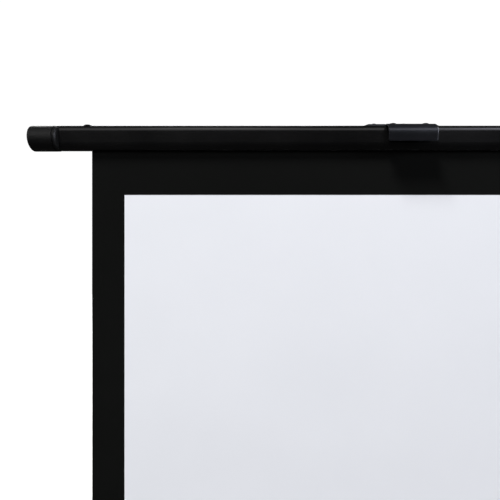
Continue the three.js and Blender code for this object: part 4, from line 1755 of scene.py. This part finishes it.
@dataclass
class Lift:
    """The folding lift behind the fabric: base bracket, geared arms, pins and washers."""

    arm_angle: float = math.radians(74)
    channel_start: float = 62 * MM
    channel_end: float = 548 * MM
    channel_width: float = 10 * MM
    channel_depth: float = 0.9 * MM
    pivot_x: float = 32 * MM
    pivot_base: float = 46 * MM
    pivot_top: float = 1.199514

    def channel(self, axis: Axis, floor: Sequence[float], turn: float) -> None:
        """Shapes the tool that cuts a long shallow channel in an arm's face.

        Args:
            axis: The way the face points.
            floor: Where the arm's pivot meets the channel's floor.
            turn: Turn of the arm, seen from that side.
        """
        half = self.channel_width / 2
        BENCH.draw_out("channel", rounded(self.channel_start, -half, self.channel_end, half,
                                          half - 0.2 * MM, 5), 4 * MM)
        BENCH.stand(axis, floor, turn)

    def arm(self, level: str, side: Side) -> None:
        """One arm: eased edges, and a long shallow channel on both faces.

        Args:
            level: lower or upper.
            side: Which side it is on.
        """
        node = f"{level}_arm_{side.word}"
        place = Place.of(node)
        way, height = (1, self.pivot_base) if level == "lower" else (-1, self.pivot_top)
        lean = math.atan2(way * math.sin(self.arm_angle), side.value * math.cos(self.arm_angle))
        BENCH.merged_copy(node, f"{level}_bar_{side.word}")
        for axis, depth, turn in (
                (Axis.FRONT, place.low.y + self.channel_depth, 2 * QUARTER + lean),
                (Axis.BACK, place.high.y - self.channel_depth, -lean)):
            floor = (side.value * self.pivot_x, depth, height)
            BENCH.carve(lambda: self.channel(axis, floor, turn))
        BENCH.bevel(0.4 * MM, 2, 40)
        BENCH.deliver(arm_finish(lean), f"{side.word}_{level}", [node])

    def build(self) -> None:
        """Models and dresses the lift."""
        BENCH.merged_copy("base_bracket", "base_plate")
        BENCH.bevel(0.5 * MM)
        BENCH.deliver(ENAMEL, "case", ["base_bracket"])
        for side in Side:
            word = side.word
            for level in ("lower", "upper"):
                self.arm(level, side)
            Screw(f"base_screw_{word}", f"bracket_screw_{word}", Drive.CROSS, 6 * MM,
                  Axis.BACK, rim_share=0.29).make("case")
            Pin(f"base_pivot_{word}", f"base_pivot_pin_{word}", Axis.BACK).make("case")
            Pin(f"elbow_rivet_{word}", f"elbow_pin_{word}", Axis.BACK,
                rivet=True).make(f"{word}_lower")
        NYLON.dress_nodes("base_washer_left", "base_washer_right")


def arm_finish(lean: float) -> Metal:
    """The arms' finish, with its drawn lines along the arm.

    Args:
        lean: The arm's angle.
    Returns:
        The finish, one for each pair of parallel arms.
    """
    name = f"anodised_arm_{round(math.degrees(lean)) % 180}"
    return Metal(name, "arm_paint", colour=(0.06, 0.06, 0.063), tarnish=(0.1, 0.1, 0.105),
                 shine=(0.36, 0.5), relief=0.2, turn=(0, lean, 0), metallic=0.6)


# Carry handle


@dataclass
class CarryHandle:
    """The carry handle on the case's front: ears, bent rod and ribbed grip."""

    rod: float = 4 * MM
    bend: float = 7 * MM
    arm_x: float = 53 * MM
    ear_round: float = 8 * MM
    ribs: int = 9
    rib: float = 0.9 * MM
    grip_end: float = 4 * MM
    bore: float = 4.3 * MM

    def ear(self, name: str, place: Place) -> None:
        """Shapes a moulded ear that the rod hangs in, with its real depth.

        Args:
            name: Name of the piece.
            place: Where the ear is.
        """
        back, tall = place.high.y, place.size.z / 2
        tip = (place.low.y + self.ear_round, 0)
        BENCH.draw_out(name, [(back, -tall), (back, tall),
                              *arc(tip, self.ear_round, 1, 3, 18)], place.size.x)
        BENCH.bevel(0.9 * MM, 3)

    def bent_rod(self) -> None:
        """The rod, drawn out and swept round each bend."""
        place = Place.of("carry_handle")
        y = place.middle.y
        top, bottom = place.high.z - self.rod, place.low.z + self.rod
        upper, lower = top - self.bend, bottom + self.bend
        outer, inner = self.arm_x + self.bend, self.arm_x - self.bend
        straight = (place.high.x - outer, 0, 0)
        BENCH.disc("carry_rod", self.rod, 24)
        BENCH.stand(Axis.RIGHT, (place.low.x, y, top))
        BENCH.pick_all()
        for run, centre, angle in (
                (straight, (-outer, y, upper), QUARTER),
                ((0, 0, lower - upper), (-inner, y, lower), -QUARTER),
                ((2 * inner, 0, 0), (inner, y, lower), -QUARTER),
                ((0, 0, upper - lower), (outer, y, upper), QUARTER)):
            BENCH.extrude(run)
            BENCH.spin(centre, (0, 1, 0), angle, 8)
        BENCH.extrude(straight)
        BENCH.close()
        BENCH.deliver(ENAMEL, "carry", ["carry_handle"])

    def grip(self) -> None:
        """The soft grip with ribs round it."""
        place = Place.of("carry_grip")
        length, radius = place.size.x, place.size.z / 2
        pitch = (length - 2 * self.grip_end) / self.ribs
        end = ((2.2 * MM, 0), (0.6 * MM, 0.5 * MM), (0, 2 * MM))
        ribs = [(radius - inset, self.grip_end + (rib + share) * pitch)
                for rib in range(self.ribs)
                for inset, share in ((0, 0), (self.rib, 0.25), (self.rib, 0.5), (0, 0.75))]
        BENCH.turn_up("soft_grip", [
            *((radius - inset, height) for inset, height in end), *ribs,
            *((radius - inset, length - height) for inset, height in reversed(end))])
        BENCH.bore(self.bore)
        BENCH.stand(Axis.RIGHT, (place.low.x, *place.middle.yz))
        BENCH.deliver(RUBBER, "carry", ["carry_grip"], smooth=50)

    def build(self) -> None:
        """Models and dresses the carry handle."""
        for side in Side:
            node = f"handle_ear_{side.word}"
            place = Place.of(node)
            BENCH.repeated("rod ear", f"rod_ear_{side.word}",
                           lambda name: self.ear(name, place))
            BENCH.stand(Axis.RIGHT, (place.low.x, 0, place.middle.z))
            BENCH.deliver(CASE_PLASTIC, "case", [node])
        self.bent_rod()
        self.grip()


# Studio


@dataclass(frozen=True)
class Softbox:
    """A large soft area light."""

    name: str
    place: tuple[float, float, float]
    target: tuple[float, float, float]
    size: Point
    power: float
    colour: Colour = (1.0, 1.0, 1.0)
    mirrored: bool = True

    def build(self) -> None:
        """Hangs the light, seen in reflections or not."""
        bpy.ops.object.light_add(type="AREA", location=self.place)
        light = bpy.context.object
        light.name = self.name
        light.data.shape = "RECTANGLE"
        light.data.size, light.data.size_y = self.size
        light.data.energy = self.power
        light.data.color = self.colour
        away = Vector(self.place) - Vector(self.target)
        light.rotation_euler = away.to_track_quat("Z", "Y").to_euler()
        light.visible_glossy = self.mirrored
        light.visible_camera = False


SOFTBOXES = (
    Softbox("key_above", (-2.4, -2.62, 10.5), (0, 0, 0.9), (2.6, 0.4), 2260, mirrored=False),
    Softbox("front_low", (-2.4, -4.4, 0.5), (0, 0, 0.7), (2.0, 1.0), 12, mirrored=False),
    Softbox("front_wide", (0.2, -4.2, 4.3), (0, 0, 1.0), (8.4, 1.4), 39),
    Softbox("front_left", (-0.8, -3.9, 4.9), (0, 0, 1.0), (1.9, 1.3), 9),
    Softbox("front_right", (3.5, -3.9, 4.6), (0, 0, 1.0), (2.2, 1.2), 22, (0.82, 0.83, 1.0)),
    Softbox("right_side", (4.3, -1.7, 3.0), (0, 0, 1.2), (1.0, 1.6), 115, (0.86, 0.89, 1.0)),
    Softbox("left_side", (-4.5, -1.5, 2.5), (0, 0, 1.0), (1.0, 1.4), 50),
    Softbox("behind", (-1.4, 4.0, 4.2), (0, 0, 0.7), (5.2, 2.0), 190),
    Softbox("behind_fill", (0.6, 4.2, 1.6), (0, 0, 0.6), (3.0, 2.0), 170, mirrored=False),
    Softbox("behind_right", (3.4, 2.6, 2.4), (0, 0, 0.6), (1.2, 1.4), 50),
)


@dataclass
class Studio:
    """Floor, lights and the camera at the photograph's place."""

    camera_place: tuple[float, float, float] = (-0.27675, -0.710, 1.0095)
    lens: float = 27.72
    sensor: float = 36.0
    floor_span: float = 16.0
    floor_colour: Colour = (0.86, 0.86, 0.86)
    floor_dim: Colour = (0.015, 0.015, 0.015)
    floor_glow: float = 0.9
    white_light: float = 1.05
    room_colour: Colour = (0.93, 0.96, 1.0)
    room_light: float = 0.03

    def camera(self) -> None:
        """The camera, level and square to the fabric."""
        bpy.ops.object.camera_add(location=self.camera_place, rotation=(QUARTER, 0, 0))
        camera = bpy.context.object
        camera.data.lens = self.lens
        camera.data.sensor_width = self.sensor
        camera.data.clip_start = 0.01
        camera.data.clip_end = 60
        bpy.context.scene.camera = camera

    def floor(self) -> None:
        """A plain pale floor that throws little light back on the black pieces."""
        BENCH.clear()
        bpy.ops.mesh.primitive_grid_add(x_subdivisions=8, y_subdivisions=8, size=self.floor_span)
        floor = BENCH.started("studio_floor")
        paint = bpy.data.materials.new("studio_floor_paint")
        graph = Graph.of(paint)
        pale = graph.add("BsdfDiffuse", {"Color": self.floor_colour})
        glow = graph.add("Emission", {"Strength": self.floor_glow})
        lit = graph.add("AddShader", {0: pale.outputs[0], 1: glow.outputs[0]})
        dim = graph.add("BsdfDiffuse", {"Color": self.floor_dim})
        graph.end("OutputMaterial", lit, dim)
        floor.data.materials.append(paint)

    def world(self) -> None:
        """White for the camera, and a dim room as light on the object."""
        world = bpy.data.worlds.new("studio_world")
        bpy.context.scene.world = world
        graph = Graph.of(world)
        white = graph.add("Background", {"Color": (1, 1, 1), "Strength": self.white_light})
        room = graph.add("Background", {"Color": self.room_colour,
                                        "Strength": self.room_light})
        graph.end("OutputWorld", white, room)

    def build(self) -> None:
        """Sets up the whole studio."""
        self.camera()
        self.floor()
        self.world()
        for light in SOFTBOXES:
            light.build()
        view = bpy.context.scene.view_settings
        view.view_transform = "Standard"
        view.look = "None"
        view.exposure = 0
        view.gamma = 1


def main() -> None:
    """Builds the studio and every sub-assembly, and logs the name of each."""
    logging.basicConfig(level=logging.INFO, format="%(message)s")
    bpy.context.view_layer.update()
    Studio().build()
    for assembly in (TopBar(), Hanger(), Screen(), Case(), Roller(), Foot(Side.LEFT),
                     Foot(Side.RIGHT), Lift(), CarryHandle()):
        LOG.info("%s", type(assembly).__name__)
        assembly.build()


if __name__ == "__main__":
    main()
